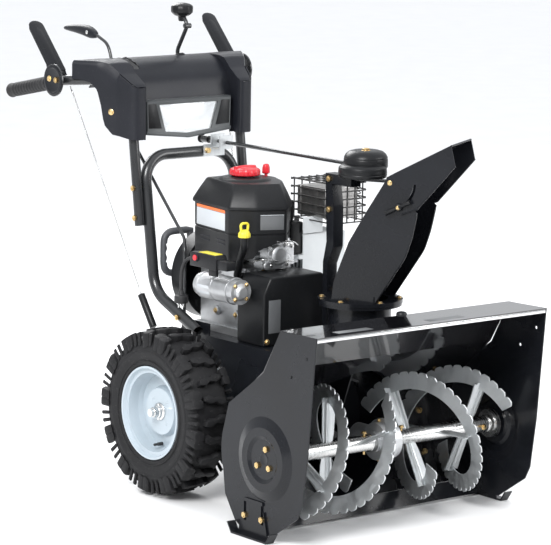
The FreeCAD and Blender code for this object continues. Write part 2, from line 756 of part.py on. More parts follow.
def belt(y, top_z, top_radius, low_z, low_radius, thickness=6):
    """A belt loop round two pulleys one above the other."""
    body = loose_body("Belt")
    def loop(grow):
        angle = math.asin((low_radius - top_radius) / (top_z - low_z))
        across, up = math.cos(angle), math.sin(angle)
        top, low = top_radius + grow, low_radius + grow
        return [(top * across, top_z + top * up, (0, top_z), 1), (-top * across, top_z + top * up),
                (-low * across, low_z + low * up, (0, low_z), 1), (low * across, low_z + low * up)]
    sketch = outline(sketch_on(body, "XZ", y - 5), loop(thickness))
    pad(body, sketch, 10, backwards=True)
    pocket(body, outline(sketch_on(body, "XZ", y - 6), loop(0)), 12, backwards=False)
    return body


def make_belts():
    """Auger belt in front and traction belt behind, each riding above its pulley's groove."""
    crank = number(S["crank_z"])
    gap = 0.6
    auger_belt = belt(AUGER_BELT_Y, crank, ENGINE_AUGER_PULLEY + gap, number(AUGER_Z),
                      AUGER_PULLEY_RADIUS + gap)
    drive_belt = belt(DRIVE_BELT_Y, crank, ENGINE_DRIVE_PULLEY + gap, DISC_Z, DISC_PULLEY_RADIUS + gap)
    return node(group([auger_belt, drive_belt]), "belts")


def make_drive_disc():
    """Traction disc with its pulley; its rear face drives the rubber wheel."""
    shaft = rod((0, -122, DISC_Z), "y", 9, 46)
    pulley = pulley_solid(DRIVE_BELT_Y, DISC_PULLEY_RADIUS, DISC_Z)
    return node(fuse([shaft, pulley, rod((0, -82, DISC_Z), "y", 72, 6)]), "drive_disc")


def make_cross_shaft():
    """Shaft across the frame with the pinion that drives the axle gear."""
    shaft = rod((-126, CROSS_Y, CROSS_Z), "x", CROSS_RADIUS, 252)
    pinion = rod((60, CROSS_Y, CROSS_Z), "x", CROSS_PINION_RADIUS, 10)
    return node(fuse([shaft, pinion]), "cross_shaft")


def make_friction_wheel():
    """Rubber-tyred wheel that slides along the cross shaft, against the rear face of the disc."""
    wheel = fuse([rod((34, CROSS_Y, CROSS_Z), "x", 56.6, 14), rod((30, CROSS_Y, CROSS_Z), "x", 20, 26)])
    bore = rod((0, CROSS_Y, CROSS_Z), "x", CROSS_RADIUS + number(S["running_gap"]), 90)
    return node(cut(wheel, [bore]), "friction_wheel")


# ---------------------------------------------------------------- engine

def make_crankcase():
    """Crankcase with its foot, shaft nose and a bore for the crankshaft."""
    crank = S["crank_z"]
    case = fuse([box((-75, -55, S["deck_z"] + 0.2), (78, 138, S["deck_z"] + 18)),
                 box((-66, -48, S["deck_z"] + 17), (70, 130, 536)),
                 rod((0, -60, crank), "y", 44, 20),
                 rod((0, 120, crank), "y", 40, 20)])
    bore = rod((0, -80, crank), "y", S["crank_radius"] + S["running_gap"], 240)
    return node(cut(case, [bore]), "crankcase")


def make_cylinder_head():
    """Finned barrel and head, lying towards the operator's left."""
    fins = [box((70 + 11 * step, -30 - 4, 432), (76 + 11 * step, 104, 548)) for step in range(1, 8)]
    barrel = box((70.2, -10, 450), (165, 86, 532))
    head = box((165, -34, 432), (196, 104, 548))
    return node(fuse([barrel, head] + fins), "cylinder_head")


def shroud_shell(name, inset, overhang):
    """Skirt and bevelled top of the engine cover, as a solid that stands inset from its outside."""
    rim = [(-94, 132), (-120, -50), (-69, -94), (4, -124), (62, -64), (98, 20), (88, 132)]
    middle = (-5, 20)
    def shrink(factor, distance):
        points = []
        for x, y in rim:
            length = math.hypot(x - middle[0], y - middle[1])
            scale = factor - distance / length
            points.append((middle[0] + (x - middle[0]) * scale, middle[1] + (y - middle[1]) * scale))
        return points
    body = loose_body(name)
    rim_z, top_z = S["shroud_rim_z"], S["shroud_top_z"] - inset
    skirt_drop = 130 + inset
    pad(body, outline(sketch_on(body, "XY", rim_z - skirt_drop), shrink(0.95, inset)), skirt_drop)
    loft = body.newObject("PartDesign::AdditiveLoft", name + "Loft")
    loft.Profile = outline(sketch_on(body, "XY", rim_z - 0.01 - inset * 0.5), shrink(overhang, inset))
    loft.Sections = [outline(sketch_on(body, "XY", top_z), shrink(0.74, inset))]
    loft.Ruled = True
    return body


def make_engine_shroud():
    """Black cover over the engine, which is also the fuel tank's shell, with the filler neck on top."""
    choke_hole = rod((62, 40, S["shroud_top_z"] - 40), "z", 4.4, 60)
    shell = cut(shroud_shell("ShroudOutside", 0, 1), [shroud_shell("ShroudInside", 4, 0.95), choke_hole])
    crown = cone((-15, 25, S["shroud_top_z"] - 3), "z", 66, 46, 14)
    neck = pipe((-15, 25, S["shroud_top_z"] + 8), "z", 26, 22, 8)
    return node(fuse([shell, crown, neck]), "engine_shroud")


def make_fuel_cap():
    cap_foot = S["shroud_top_z"] + 11.6
    rim = cut(rod((-15, 25, cap_foot), "z", 34, 18), [rod((-15, 25, cap_foot - 2), "z", 26.4, 8)])
    return node(fuse([rim, cone((-15, 25, cap_foot + 18), "z", 34, 26, 5),
                      box((-42, 19, cap_foot + 20), (12, 31, cap_foot + 27))]), "fuel_cap")


def make_choke_knob():
    stem_foot = S["shroud_top_z"] - 22
    knob = box((53, 31, stem_foot + 32), (71, 49, stem_foot + 54))
    return node(fuse([rod((62, 40, stem_foot), "z", 4, 34), knob]), "choke_knob")


def make_muffler():
    can = box((124, -128, 652), (212, -8, 724))
    inlet = bent_rod([(168, -20, 653), (182, 30, 580), (182, 30, 548.3)], [20], 13, "Inlet")
    outlet = rod((212, -68, 700), "x", 12, 12)
    return node(fuse([can, inlet, outlet]), "muffler")


def make_muffler_guard():
    """Welded wire cage round the muffler: each wire lies against the ones that it crosses."""
    x0, x1, y0, y1, z0, z1 = 116, 226, -144, 6, 642, 738
    wire, lap, tail = 1.8, 2.2, 1.5
    long_x, long_y, long_z = x1 - x0 + 2 * tail, y1 - y0 + 2 * tail, z1 - z0 + tail
    wires = []
    for level in range(6):
        z = z0 + (z1 - z0) * level / 5
        wires += [rod((x0 - tail, y, z), "x", wire, long_x) for y in (y0, y1)]
        wires += [rod((x, y0 - tail, z + lap), "y", wire, long_y) for x in (x0, x1)]
    for share in (0.06, 0.28, 0.5, 0.72, 0.94):
        x = x0 + (x1 - x0) * share
        wires += [rod((x, y, z0 - tail), "z", wire, long_z) for y in (y0 + lap, y1 - lap)]
        wires.append(rod((x, y0 - tail, z1 + lap), "y", wire, long_y))
    for share in (0.2, 0.4, 0.6, 0.8):
        y = y0 + (y1 - y0) * share
        wires += [rod((x0 - tail, y, z1 + 2 * lap), "x", wire, long_x),
                  rod((x1 - lap, y, z0 - tail), "z", wire, long_z)]
    feet = [box((126, 4, 552), (140, 7, 645)), box((126, 4, 549), (140, 40, 552))]
    return node(fuse(wires + feet), "muffler_guard")


def make_heat_shield():
    """Bright air guide in front of the cylinder: flat plate, side return and rounded inner corner."""
    plate = box((100, -62, 484), (232, -60, 608))
    top = box((100, -62, 606), (232, -40, 608))
    side = box((230, -62, 484), (232, 30, 608))
    corner_room = [rod((92, -50, 512), "y", 57, 40), box((92.1, -70, 400), (180, 0, 600)),
                   box((0, -70, 400), (180, 0, 540)), box((0, -70, 558), (180, 0, 600))]
    bend = cut(rod((92, -52, 512), "y", 60, 18), corner_room)
    link = box((88, -62, 548), (102, -50, 558))
    return node(fuse([plate, top, side, bend, link]), "heat_shield")


ROPE_SPOT = (-24, 545)


def make_recoil_housing():
    """Fan cover at the back of the engine with the starter drum's round nose."""
    crank = S["crank_z"]
    outside = fuse([rod((0, 141, crank), "y", 112, 50), cone((0, 191, crank), "y", 112, 74, 22)])
    room = fuse([rod((0, 140, crank), "y", 108, 48), cone((0, 187, crank), "y", 108, 71, 22)])
    shaft_hole = rod((0, 120, crank), "y", 14, 30)
    rope_hole = rod((ROPE_SPOT[0], 130, ROPE_SPOT[1]), "y", 5, 120)
    return node(cut(outside, [room, shaft_hole, rope_hole]), "recoil_housing")


def make_recoil_handle():
    """D-shaped pull handle on its starter rope."""
    x, y = ROPE_SPOT[0], 233
    low, high, far = 489, 594, -105
    ring = bent_rod([(x, y, ROPE_SPOT[1]), (x, y, low), (far, y, low), (far, y, high), (x, y, high),
                     (x, y, ROPE_SPOT[1] + 0.5)], [20, 38, 38, 20], 8, "Grip")
    rope = rod((x, -10, ROPE_SPOT[1]), "y", 2.2, 240)
    return node(fuse([ring, rope]), "recoil_handle")


def make_oil_filler_tube():
    """Filler tube from the side of the crankcase up past the belt cover to the dipstick."""
    route = [(-66.2, -40, 518), (-86, -40, 518), (-108, -82, 572), (*DIPSTICK_SPOT, 604),
             (*DIPSTICK_SPOT, 628)]
    return node(bent_tube(route, [12, 60, 20], 9, 1.5, "Filler"), "oil_filler_tube")


DIPSTICK_SPOT = (-130, -124)


def make_dipstick():
    """Yellow screw cap with a finger loop, and the stick that hangs from it in the tube."""
    cap = fuse([rod((*DIPSTICK_SPOT, 628.4), "z", 15, 12), cone((*DIPSTICK_SPOT, 640), "z", 15, 11, 8),
                box((-144, -127, 646), (-116, -121, 664))])
    stick = rod((*DIPSTICK_SPOT, 612), "z", 1.5, 18)
    return node(fuse([cap, stick]), "dipstick")


def make_starter_motor():
    """Electric starter lying beside the crankcase, bright end towards the front."""
    x, z = -150, 500
    parts = [rod((x, -118, z), "y", 32, 118), rod((x, -140, z), "y", 30, 22),
             rod((x, -150, z), "y", 12, 10),
             rod((x, 0, z), "y", 28, 14)]
    strap = box((-126, -45, z - 24), (-66.4, -10, z))
    return node(fuse(parts + [strap]), "starter_motor")


def make_starter_switch_box():
    body = box((-206, -112, 553), (-170, -9, 588))
    nose = box((-202, -150, 556), (-174, -112, 580))
    well = rod((-210, -35, 575), "x", 7.2, 14)
    bracket = box((-180, -80, 531), (-172, -50, 554))
    return node(cut(fuse([body, nose, bracket]), [well]), "starter_switch_box")


def make_start_button():
    return node(fuse([rod((-211, -35, 575), "x", 6.8, 12)]), "start_button")


CORD_ROUTE = [(-186, -8.6, 568), (-186.5, 13, 567.5), (-188, 32, 556), (-190, 42.5, 536),
              (-190.5, 44.2, 508.5),
              (-190, 44.5, 482)]
CORD_RADIUS = 4.5


def cord_bends(points):
    """Radius of each bend: as large as the two runs beside it allow."""
    bends = []
    points = [Vector(*p) for p in points]
    for before, here, after in zip(points, points[1:], points[2:]):
        turn = (here - before).getAngle(after - here)
        shorter = min((here - before).Length, (after - here).Length)
        bends.append(0.45 * shorter / math.tan(turn / 2))
    return bends


def make_starter_cord():
    """Short mains lead of the starter, hanging from its switch box."""
    bends = cord_bends(CORD_ROUTE)
    cord = bent_rod(CORD_ROUTE, bends, CORD_RADIUS, "Cord")
    doc.recompute()
    length = cord.Spine[0].Shape.Length
    print("starter cord: length %.1f, bend radii %s, volume %.0f against %.0f" % (
        length, ["%.0f" % r for r in bends], cord.Shape.Volume, length * math.pi * CORD_RADIUS ** 2))
    return node(cord, "starter_cord")


def make_starter_plug():
    x, y, top = CORD_ROUTE[-1]
    body = fuse([cone((x, y, top), Vector(0, 0, -1), 7, 11, 12), rod((x, y, top - 30), "z", 17, 18.5)])
    places = ((-7, 0), (7, 0), (0, 8))
    prongs = [rod((x + across, y + along, top - 42), "z", 2.2, 13) for across, along in places]
    return node(fuse([body] + prongs), "starter_plug")


# ---------------------------------------------------------------- discharge chute

CHUTE_TURN = -60


def set_on_chute(thing):
    """Things of the chute are drawn with +X as its throwing direction, then turned to its rest heading."""
    thing.Placement = Placement(Vector(number(S["chute_x"]), number(S["chute_y"]), 0),
                                Rotation(UP, CHUTE_TURN))
    thing.setExpression("Placement.Base.x", S["chute_x"].formula)
    thing.setExpression("Placement.Base.y", S["chute_y"].formula)
    return thing


CHUTE_REAR = [(-47, 489), (-42, 534), (-6, 632), (40, 712), (84, 784)]


def make_chute():
    """Open-fronted chute: curved back, two sides and the round ring it turns on."""
    body = new_body("chute")
    half, sheet_steel = S["chute_half_width"] - 3.5, 2.5
    inner_edge = [(x + 2.2, z - 1.2) for x, z in CHUTE_REAR]
    back = outline(sketch_on(body, "XZ"), CHUTE_REAR + inner_edge[::-1])
    pad(body, back, half * 2, both_sides=True)
    front = [(163, 712), (149, 651), (134, 604), (61, 489)]
    for level in (-half, half - sheet_steel):
        pad(body, outline(sketch_on(body, "XZ", level), CHUTE_REAR + front), sheet_steel, backwards=True)
    ring = sketch_on(body, "XY", S["collar_top"] + 0.4)
    hole(ring, 0, 0, S["ring_radius"])
    hole(ring, 0, 0, S["outlet_radius"] - 6)
    pad(body, ring, 9)
    return set_on_chute(body)


def make_chute_strap():
    """Gear on the chute's upper pivot and the strap that joins it to the chute's back."""
    pin = rod((0, 0, 765), "z", 6, 24)
    gear = rod((0, 0, 787), "z", 46, 6)
    strap = box((-12, -12, 770), (70, 12, 775))
    lug = box((66.5, -12, 762), (70, 12, 775))
    return node(set_on_chute(fuse([pin, gear, strap, lug])), "chute_strap")


def make_deflector():
    """Tilting cap of the chute: roof and two sides with a curved slot for the wing screw."""
    body = new_body("deflector")
    half, sheet_steel = S["chute_half_width"], 2.5
    px, pz = S["pivot_forward"], S["pivot_height"]
    roof = [(px + 17, pz + 27), (px + 148, pz + 97), (px + 149.5, pz + 94.5), (px + 18.5, pz + 24.5)]
    pad(body, outline(sketch_on(body, "XZ"), roof), half * 2, both_sides=True)
    side = [(px - 16, pz - 16), (px - 8, pz + 13), (px + 17, pz + 27), (px + 148, pz + 97),
            (px + 159, pz + 50),
            (px + 70, pz - 59), (px + 30, pz - 74), (px + 4, pz - 66)]
    for level in (-half, half - sheet_steel):
        pad(body, outline(sketch_on(body, "XZ", level), side), sheet_steel, backwards=True)
    centre = (px, pz)
    radius = number(S["slot_radius"])
    slot_sketch = sketch_on(body, "XZ", -half)
    ends = (-70, 0)
    outer = [on_circle(radius + 3.5, a, centre) for a in ends]
    inner = [on_circle(radius - 3.5, a, centre) for a in ends]
    outline(slot_sketch, [outer[0] + (centre, 1), outer[1], inner[1] + (centre, -1), inner[0]])
    pocket(body, slot_sketch, half * 4, both_sides=True)
    return set_on_chute(body)


def make_wing_knob():
    """Wing screws that clamp the deflector, one through each slot into the chute's side."""
    half = number(S["chute_half_width"])
    u, z = 118.8, 722.8
    knobs = []
    for side in (-1, 1):
        face = half * side
        start = face - 3 * side
        outward = Vector(0, side, 0)
        knob = fuse([rod((u, start, z), outward, 3, 12), rod((u, face + 0.3 * side, z), outward, 9, 9)])
        wing = turned_box((-34, -3, -6), (34, 3, 6), (u, face + 8 * side, z), Rotation(ALONG["y"], -28))
        knobs.append(fuse([knob, wing]))
    return node(set_on_chute(group(knobs)), "wing_knobs")


def make_gear_bracket():
    """Folded pedestal behind the chute that carries the steering gear."""
    body = new_body("gear_bracket")
    corners = [(-193, S["deck_z"] + 0.2), (-193, 556), (-214, 600), (-213, 700), (-204, 752), (-276, 752),
               (-276, 776), (-180, 776), (-184, 700), (-188, 610), (-176, 560), (-176, S["deck_z"] + 0.2)]
    pad(body, outline(sketch_on(body, "YZ", S["chute_x"] - 15), corners), 30)
    room = [(-190, 380), (-190, 556), (-210, 602), (-210, 700), (-198, 755), (-188, 755), (-189, 600),
            (-176, 556),
            (-170, 380)]
    pocket(body, outline(sketch_on(body, "YZ", S["chute_x"] - 12), room), 24, backwards=True)
    return body


def make_chute_gear_cover():
    """Round cover over the steering gears: wide lower disc and a taller housing beside it."""
    x, y = S["chute_x"], S["chute_y"]
    dome = (x + 12, y + 14)
    disc = fuse([rod((x, y, 778), "z", 58, 34), rod((*dome, 808), "z", 48, 28),
                 cone((*dome, 836), "z", 48, 36, 8)])
    room = fuse([rod((x, y, 770), "z", 55, 25), rod((x, y, 794), "z", 54, 15),
                 rod((*dome, 800), "z", 44.5, 32)])
    rod_hole = rod((S["rod_x"], y, S["rod_z"]), "y", S["rod_radius"] + S["running_gap"], 90)
    nut = hexagon((*dome, 844), "z", 9, 7)
    rest = box((x - 15, y + 40, 776.2), (x + 15, y + 56, 779))
    return node(fuse([cut(disc, [room, rod_hole]), nut, rest]), "chute_gear_cover")


def make_chute_rod():
    """Long steering rod with its pinion in front and a fork of the universal joint behind."""
    x, z = S["rod_x"], S["rod_z"]
    start = S["chute_y"] + 44
    shaft = rod((x, start, z), "y", S["rod_radius"], 556)
    pinion = rod((x, start - 8, z), "y", 12.4, 10)
    fork = rod((x, 296, z), "y", 9, 26)
    return node(fuse([shaft, pinion, fork]), "chute_rod")


CRANK_FOOT = (78, 335, 824)
CRANK_TOP = (60, 410, 1019)
SPEED_PIVOT = (-118, 424, 884)


def make_chute_crank():
    """Cranked rod from the universal joint up through the console to its round knob."""
    bent = bent_rod([CRANK_FOOT, CRANK_TOP, (60, 365, 1090), (60, 384, 1112)], [18, 14], 5, "Crank")
    fork = rod(CRANK_FOOT, Vector(*[b - a for a, b in zip(CRANK_FOOT, CRANK_TOP)]), 9, 26)
    neck = cone((60, 381, 1098), Vector(0, 0.25, 1), 8.5, 11, 18)
    knob = fuse([cone((60, 389, 1112), "z", 20, 28, 10), rod((60, 389, 1121.5), "z", 28, 14),
                 cone((60, 389, 1135), "z", 28, 17, 9)])
    return node(fuse([bent, fork, neck, knob]), "chute_crank")


def make_rod_bracket():
    """Zinc plate on the cross bar that steadies the rear end of the steering rod."""
    plate = fuse([box((34, 256.6, 770), (57.5, 259.8, 800)), box((57, 256.6, 770), (99, 259.8, 824)),
                  box((57, 222, 790), (99, 258, 793)), box((57, 222, 790), (99, 225, 824))])
    rod_hole = rod((S["rod_x"], 200, S["rod_z"]), "y", S["rod_radius"] + S["running_gap"], 80)
    return node(cut(plate, [rod_hole]), "rod_bracket")


# ---------------------------------------------------------------- handles and console

def make_lower_handle():
    """U-shaped tube from the tractor frame up to the cross bar."""
    x, top = S["lower_leg_x"], S["lower_bar_z"]
    points = [(-x, 47, 376), (-x, 226, 450), (-x, 276, top), (x, 276, top), (x, 226, 450), (x, 47, 376)]
    return node(bent_tube(points, [80, 66, 66, 80], S["handle_tube_radius"], 2, "LowerHandle"),
                "lower_handle")


GRIP_REAR = (664, 915.6)
HANDLE_BEND = (440, 960.8)


def upper_handle(side):
    """One handle tube with its round bracket plate and the lever's pivot pin."""
    x, grip_x = S["upper_leg_x"] * side, S["grip_x"] * side
    points = [(x, 252, 612), (x, 300, 970), (grip_x, *HANDLE_BEND), (grip_x, *GRIP_REAR)]
    tube = bent_tube(points, [40, 70], S["upper_tube_radius"], 2, "UpperHandle")
    disc_x = grip_x + 22 * side if side > 0 else grip_x - 26
    disc = rod((disc_x, 441, 962), "x", 40, 4)
    stand = rod((grip_x + 2 if side > 0 else grip_x - 23, 431, 961), "x", 4.5, 21)
    pivot = rod((grip_x - 24, S["lever_pivot_y"], S["lever_pivot_z"]), "x", 3.9, 50)
    return fuse([tube, disc, stand, pivot])


def make_upper_handles():
    return node(group([upper_handle(-1), upper_handle(1)]), "upper_handles")


def make_grips():
    """Rubber grips pushed over the tube ends."""
    grips = []
    for side in (-1, 1):
        x = S["grip_x"] * side
        onward = Vector(0, GRIP_REAR[0] - HANDLE_BEND[0], GRIP_REAR[1] - HANDLE_BEND[1])
        onward.normalize()
        start = Vector(0, *GRIP_REAR) - onward * 176
        grips.append(cut(fuse([rod((x, start.y, start.z), onward, S["grip_radius"], 176)]),
                         [rod((x, start.y, start.z), onward, S["upper_tube_radius"] + S["running_gap"],
                              400)]))
    return node(group(grips), "grips")


def make_lever(label, side):
    """Clutch lever: two ears on the pivot and a flat channel reaching up and back."""
    y, z = S["lever_pivot_y"], S["lever_pivot_z"]
    x = S["grip_x"] * side
    turn = Rotation(ALONG["x"], 46)
    blade = turned_box((-21, 10, 13), (21, 172, 16), (x, y, z), turn)
    rims = [turned_box((low, 10, 7), (low + 3, 172, 14), (x, y, z), turn) for low in (-21, 18)]
    ears = []
    for low in (-21, 18):
        ears += [turned_box((low, -9, -9), (low + 3, 40, 14), (x, y, z), turn)]
    bore = rod((x - 40, y, z), "x", 4, 80)
    return node(cut(fuse([blade] + rims + ears), [bore]), label)


def make_console():
    """Console cowl between the handles: front, crest and sloping deck in one skin, and two flared wings."""
    half = S["console_half_width"]
    skin = [(283, 824), (296, 924), (311, 967), (345, 1000), (385, 1013), (408, 1013), (500, 931)]
    inside = [(287, 823.5), (299.2, 923), (313.8, 965.5), (346.5, 997), (386, 1010), (406.8, 1010),
              (498, 928.8)]
    body = loose_body("ConsoleSkin")
    pad(body, outline(sketch_on(body, "YZ"), skin + inside[::-1]), half * 2, both_sides=True)
    window = [(-133, 837), (-134, 918), (134, 918), (133, 837), (0, 814)]
    pocket(body, outline(sketch_on(body, "XZ", 200), window), 130)
    crank_line = Vector(*[b - a for a, b in zip(CRANK_FOOT, CRANK_TOP)])
    slots = [box((-127, 332, 945), (-109, 462, 1040)), rod(CRANK_FOOT, crank_line, 9, 320)]
    lever_x, lever_y, lever_z = SPEED_PIVOT
    stay = fuse([box((lever_x + 9.2, lever_y - 12, lever_z - 12), (lever_x + 12.2, lever_y + 8, 990)),
                 rod((lever_x - 9, lever_y, lever_z), "x", 4, 20)])
    return node(fuse([cut(body, slots), stay, make_wing(-1), make_wing(1)]), "console")


def make_wing(side):
    """Flared side of the console, folded round the handle tube and trimmed along its lower edge."""
    x0 = number(S["console_half_width"]) - 3
    skin = S["console_skin"]
    outer = [(x0, 300), (x0, 256), (x0 + 3, 253), (x0 + 33, 253), (x0 + 42, 266), (197, 301), (266, 404)]
    inner = [(263, 406.5), (193.5, 302), (x0 + 38.5, 268), (x0 + 31, 256), (x0 + 6, 256), (x0 + 3, 259),
             (x0 + 3, 300)]
    plan = [(x * side, y) for x, y in outer + inner]
    body = loose_body("Wing")
    pad(body, outline(sketch_on(body, "XY", 822), plan[::side]), 190)
    below = [(240, 800), (240, 822), (314, 833), (333, 859), (338, 899), (348, 943), (363, 960), (385, 967),
             (440, 966), (440, 800)]
    above = [(230, 930), (262, 960), (300, 985), (326, 1010), (348, 1013), (440, 1013), (440, 1050),
             (230, 1050)]
    for trim in (below, above):
        pocket(body, outline(sketch_on(body, "YZ"), trim), 700, both_sides=True)
    return body


def make_headlight_bezel():
    """Dark frame round the headlight with a pointed chin."""
    body = new_body("headlight_bezel")
    corners = [(-131, 838), (-133, 915), (133, 915), (131, 838), (0, 818)]
    pad(body, outline(sketch_on(body, "XZ", 272), corners), 22, backwards=True)
    lens_room = [(-70, 836.5), (-90, 905), (90, 905), (70, 836.5), (0, 829)]
    pocket(body, outline(sketch_on(body, "XZ", 260), lens_room), 60)
    return body


def make_headlight_lens():
    body = new_body("headlight_lens")
    corners = [(-69.5, 837), (-89.3, 904.5), (89.3, 904.5), (69.5, 837), (0, 829.6)]
    pad(body, outline(sketch_on(body, "XZ", 275), corners), 12, backwards=True)
    return body


def make_clutch_cables():
    """On each side a thin steel cable from the lever down to its black sleeve by the frame."""
    solids = []
    for side in (-1, 1):
        top = Vector(240 * side, 447, 944)
        joint = Vector(165 * side, 244, 441)
        foot = Vector(165 * side, 191, 367)
        sleeve_axis = foot - joint
        solids.append(rod(joint, sleeve_axis, S["sleeve_radius"], sleeve_axis.Length))
        cable_axis = joint - top
        solids.append(rod(top, cable_axis, S["cable_radius"], cable_axis.Length))
    return node(group([fuse(solids[:2]), fuse(solids[2:])]), "clutch_cables")


def make_speed_lever():
    """Speed lever: bent rod through the gate and a wedge-shaped knob."""
    x, y, z = SPEED_PIVOT
    stalk = bent_rod([(x, y + 1, z + 6), (x, 444, 1008), (x, 460, 1043), (x, 512, 1062)], [40, 20], 4,
                     "Stalk")
    body = loose_body("SpeedKnob")
    profile = [(505, 1052), (520, 1048), (545, 1058), (640, 1064), (646, 1070), (640, 1077), (560, 1086),
               (528, 1080)]
    pad(body, outline(sketch_on(body, "YZ", -118), profile), 30, both_sides=True)
    hub = rod((x - 8, y, z), "x", 9, 16)
    bore = rod((x - 20, y, z), "x", 4 + number(S["running_gap"]), 40)
    return node(cut(fuse([stalk, body, hub]), [bore]), "speed_lever")


def make_shift_rod():
    """Rod from the speed lever down behind the cross bar to the side of the tractor frame."""
    route = [(-112, 404, 870), (-100, 376, 806), (-104, 150, 590), (-114, 134, 560), (-114, 133, 400)]
    return node(bent_rod(route, [40, 30, 30], 4, "ShiftRod"), "shift_rod")


def housing_bolts():
    """Bearing bolts, shoe bolts and the bolts through the back of the housing."""
    heads = []
    bearing_spots = [on_circle(27, degrees) for degrees in (110, 322, 218)]
    for side in (-1, 1):
        outward = Vector(side, 0, 0)
        dish_face = (HALF + 3.7) * side
        heads += [bolt((dish_face, y, z), outward) for y, z in bearing_spots]
        shoe_face = (HALF + 4.2) * side
        heads += [bolt((shoe_face, AUGER_Y + across, 46), outward) for across in (66, 3)]
    for x in (-250, 250):
        for degrees in (50, 5, -32):
            slope = math.radians(degrees)
            inward = Vector(0, -math.cos(slope), -math.sin(slope))
            seat = on_circle(S["shell_radius"] - 0.4, degrees)
            heads.append(bolt((x, seat[0], seat[1]), inward))
    return heads


def handle_bolts():
    """Bolts of the handles, levers, gear bracket and rod bracket."""
    heads = []
    for side in (-1, 1):
        outward = Vector(side, 0, 0)
        upper_face = (S["upper_leg_x"] + S["upper_tube_radius"] + 0.1) * side
        lower_face = (S["lower_leg_x"] + S["handle_tube_radius"] + 0.1) * side
        disc_face = (S["grip_x"] + 26.2) * side
        heads += [bolt((upper_face, 262, 705), outward), bolt((upper_face, 254, 632), outward),
                  bolt((lower_face, 110, 402), outward), bolt((disc_face, 424, 964), outward)]
    bracket_face = S["chute_x"] - 15.1
    heads += [bolt((bracket_face, y, z), Vector(-1, 0, 0)) for y, z in ((-196, 764), (-198, 690))]
    heads.append(bolt((46, 256.4, 785), Vector(0, -1, 0)))
    return heads


def make_bolts():
    return node(group(housing_bolts() + handle_bolts()), "bolts")


MAKERS = [
    make_auger_housing,
    lambda: make_side_plate("side_plate_right", -1),
    lambda: make_side_plate("side_plate_left", 1),
    make_scraper_bar, make_skid_shoes, make_impeller_drum,
    make_auger_shaft,
    lambda: make_auger("auger_right", -1),
    lambda: make_auger("auger_left", 1),
    make_auger_gear_case, make_impeller,
    make_rims, make_tyres, make_axle_shaft,
    make_tractor_frame, make_bearings, make_belt_cover, make_crankshaft, make_belts, make_drive_disc,
    make_cross_shaft, make_friction_wheel,
    make_crankcase, make_cylinder_head, make_engine_shroud, make_fuel_cap, make_choke_knob, make_muffler,
    make_muffler_guard, make_heat_shield, make_recoil_housing, make_recoil_handle, make_oil_filler_tube,
    make_dipstick, make_starter_motor, make_starter_switch_box, make_start_button, make_starter_cord,
    make_starter_plug,
    make_chute, make_chute_strap, make_deflector, make_wing_knob, make_gear_bracket, make_chute_gear_cover,
    make_chute_rod, make_chute_crank, make_rod_bracket,
    make_lower_handle, make_upper_handles, make_grips,
    lambda: make_lever("auger_lever", -1),
    lambda: make_lever("drive_lever", 1),
    make_console, make_headlight_bezel, make_headlight_lens, make_clutch_cables, make_speed_lever,
    make_shift_rod, make_bolts,
]


# ---------------------------------------------------------------- document check and export

def check_document():
    doc.recompute()
    for thing in doc.Objects:
        if "Invalid" in thing.State or "Error" in thing.State:
            raise RuntimeError("%s (%s) failed: %s" % (thing.Name, thing.Label, thing.State))
    for thing in NODES:
        if thing.Shape.isNull() or not thing.Shape.isValid() or not thing.Shape.Solids:
            raise RuntimeError("%s has no valid solid" % thing.Label)


def export_nodes():
    os.makedirs("parts", exist_ok=True)
    for thing in NODES:
        thing.Shape.exportStep("parts/%s.step" % thing.Label)
        extent = thing.Shape.BoundBox
        print("%-22s solids %2d  volume %9.0f  x %.0f..%.0f  y %.0f..%.0f  z %.0f..%.0f" % (
            thing.Label, len(thing.Shape.Solids), thing.Shape.Volume, extent.XMin, extent.XMax, extent.YMin,
            extent.YMax, extent.ZMin, extent.ZMax))


for make in MAKERS:
    make()
check_document()
export_nodes()
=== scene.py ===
"""Two stage snowblower: the looks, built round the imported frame. Lengths in the makers are in mm."""
import math

import bmesh
import bpy
from mathutils import Matrix, Vector


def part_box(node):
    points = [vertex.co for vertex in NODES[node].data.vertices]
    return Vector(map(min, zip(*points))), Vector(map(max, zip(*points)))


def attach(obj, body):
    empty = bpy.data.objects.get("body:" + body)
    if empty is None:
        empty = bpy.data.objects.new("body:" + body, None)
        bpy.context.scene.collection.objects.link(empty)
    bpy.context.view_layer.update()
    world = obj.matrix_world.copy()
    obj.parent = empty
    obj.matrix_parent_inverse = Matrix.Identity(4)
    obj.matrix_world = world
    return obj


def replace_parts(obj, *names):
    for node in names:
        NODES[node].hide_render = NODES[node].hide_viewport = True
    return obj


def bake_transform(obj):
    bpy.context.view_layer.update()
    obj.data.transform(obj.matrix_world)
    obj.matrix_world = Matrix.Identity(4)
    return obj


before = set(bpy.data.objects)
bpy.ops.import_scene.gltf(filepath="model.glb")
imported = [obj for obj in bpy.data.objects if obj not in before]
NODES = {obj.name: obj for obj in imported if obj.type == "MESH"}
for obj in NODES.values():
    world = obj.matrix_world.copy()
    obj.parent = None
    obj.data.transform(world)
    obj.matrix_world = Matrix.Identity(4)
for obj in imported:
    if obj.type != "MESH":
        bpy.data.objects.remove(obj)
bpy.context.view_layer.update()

MM = 0.001
scene = bpy.context.scene
X, Y, Z = Vector((1, 0, 0)), Vector((0, 1, 0)), Vector((0, 0, 1))


def low_high(node):
    """Lowest and highest corner of a frame node, in millimetres."""
    low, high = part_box(node)
    return Vector(low) / MM, Vector(high) / MM


def middle(node):
    low, high = low_high(node)
    return (low + high) / 2


# ------------------------------------------------------------------ shader groups

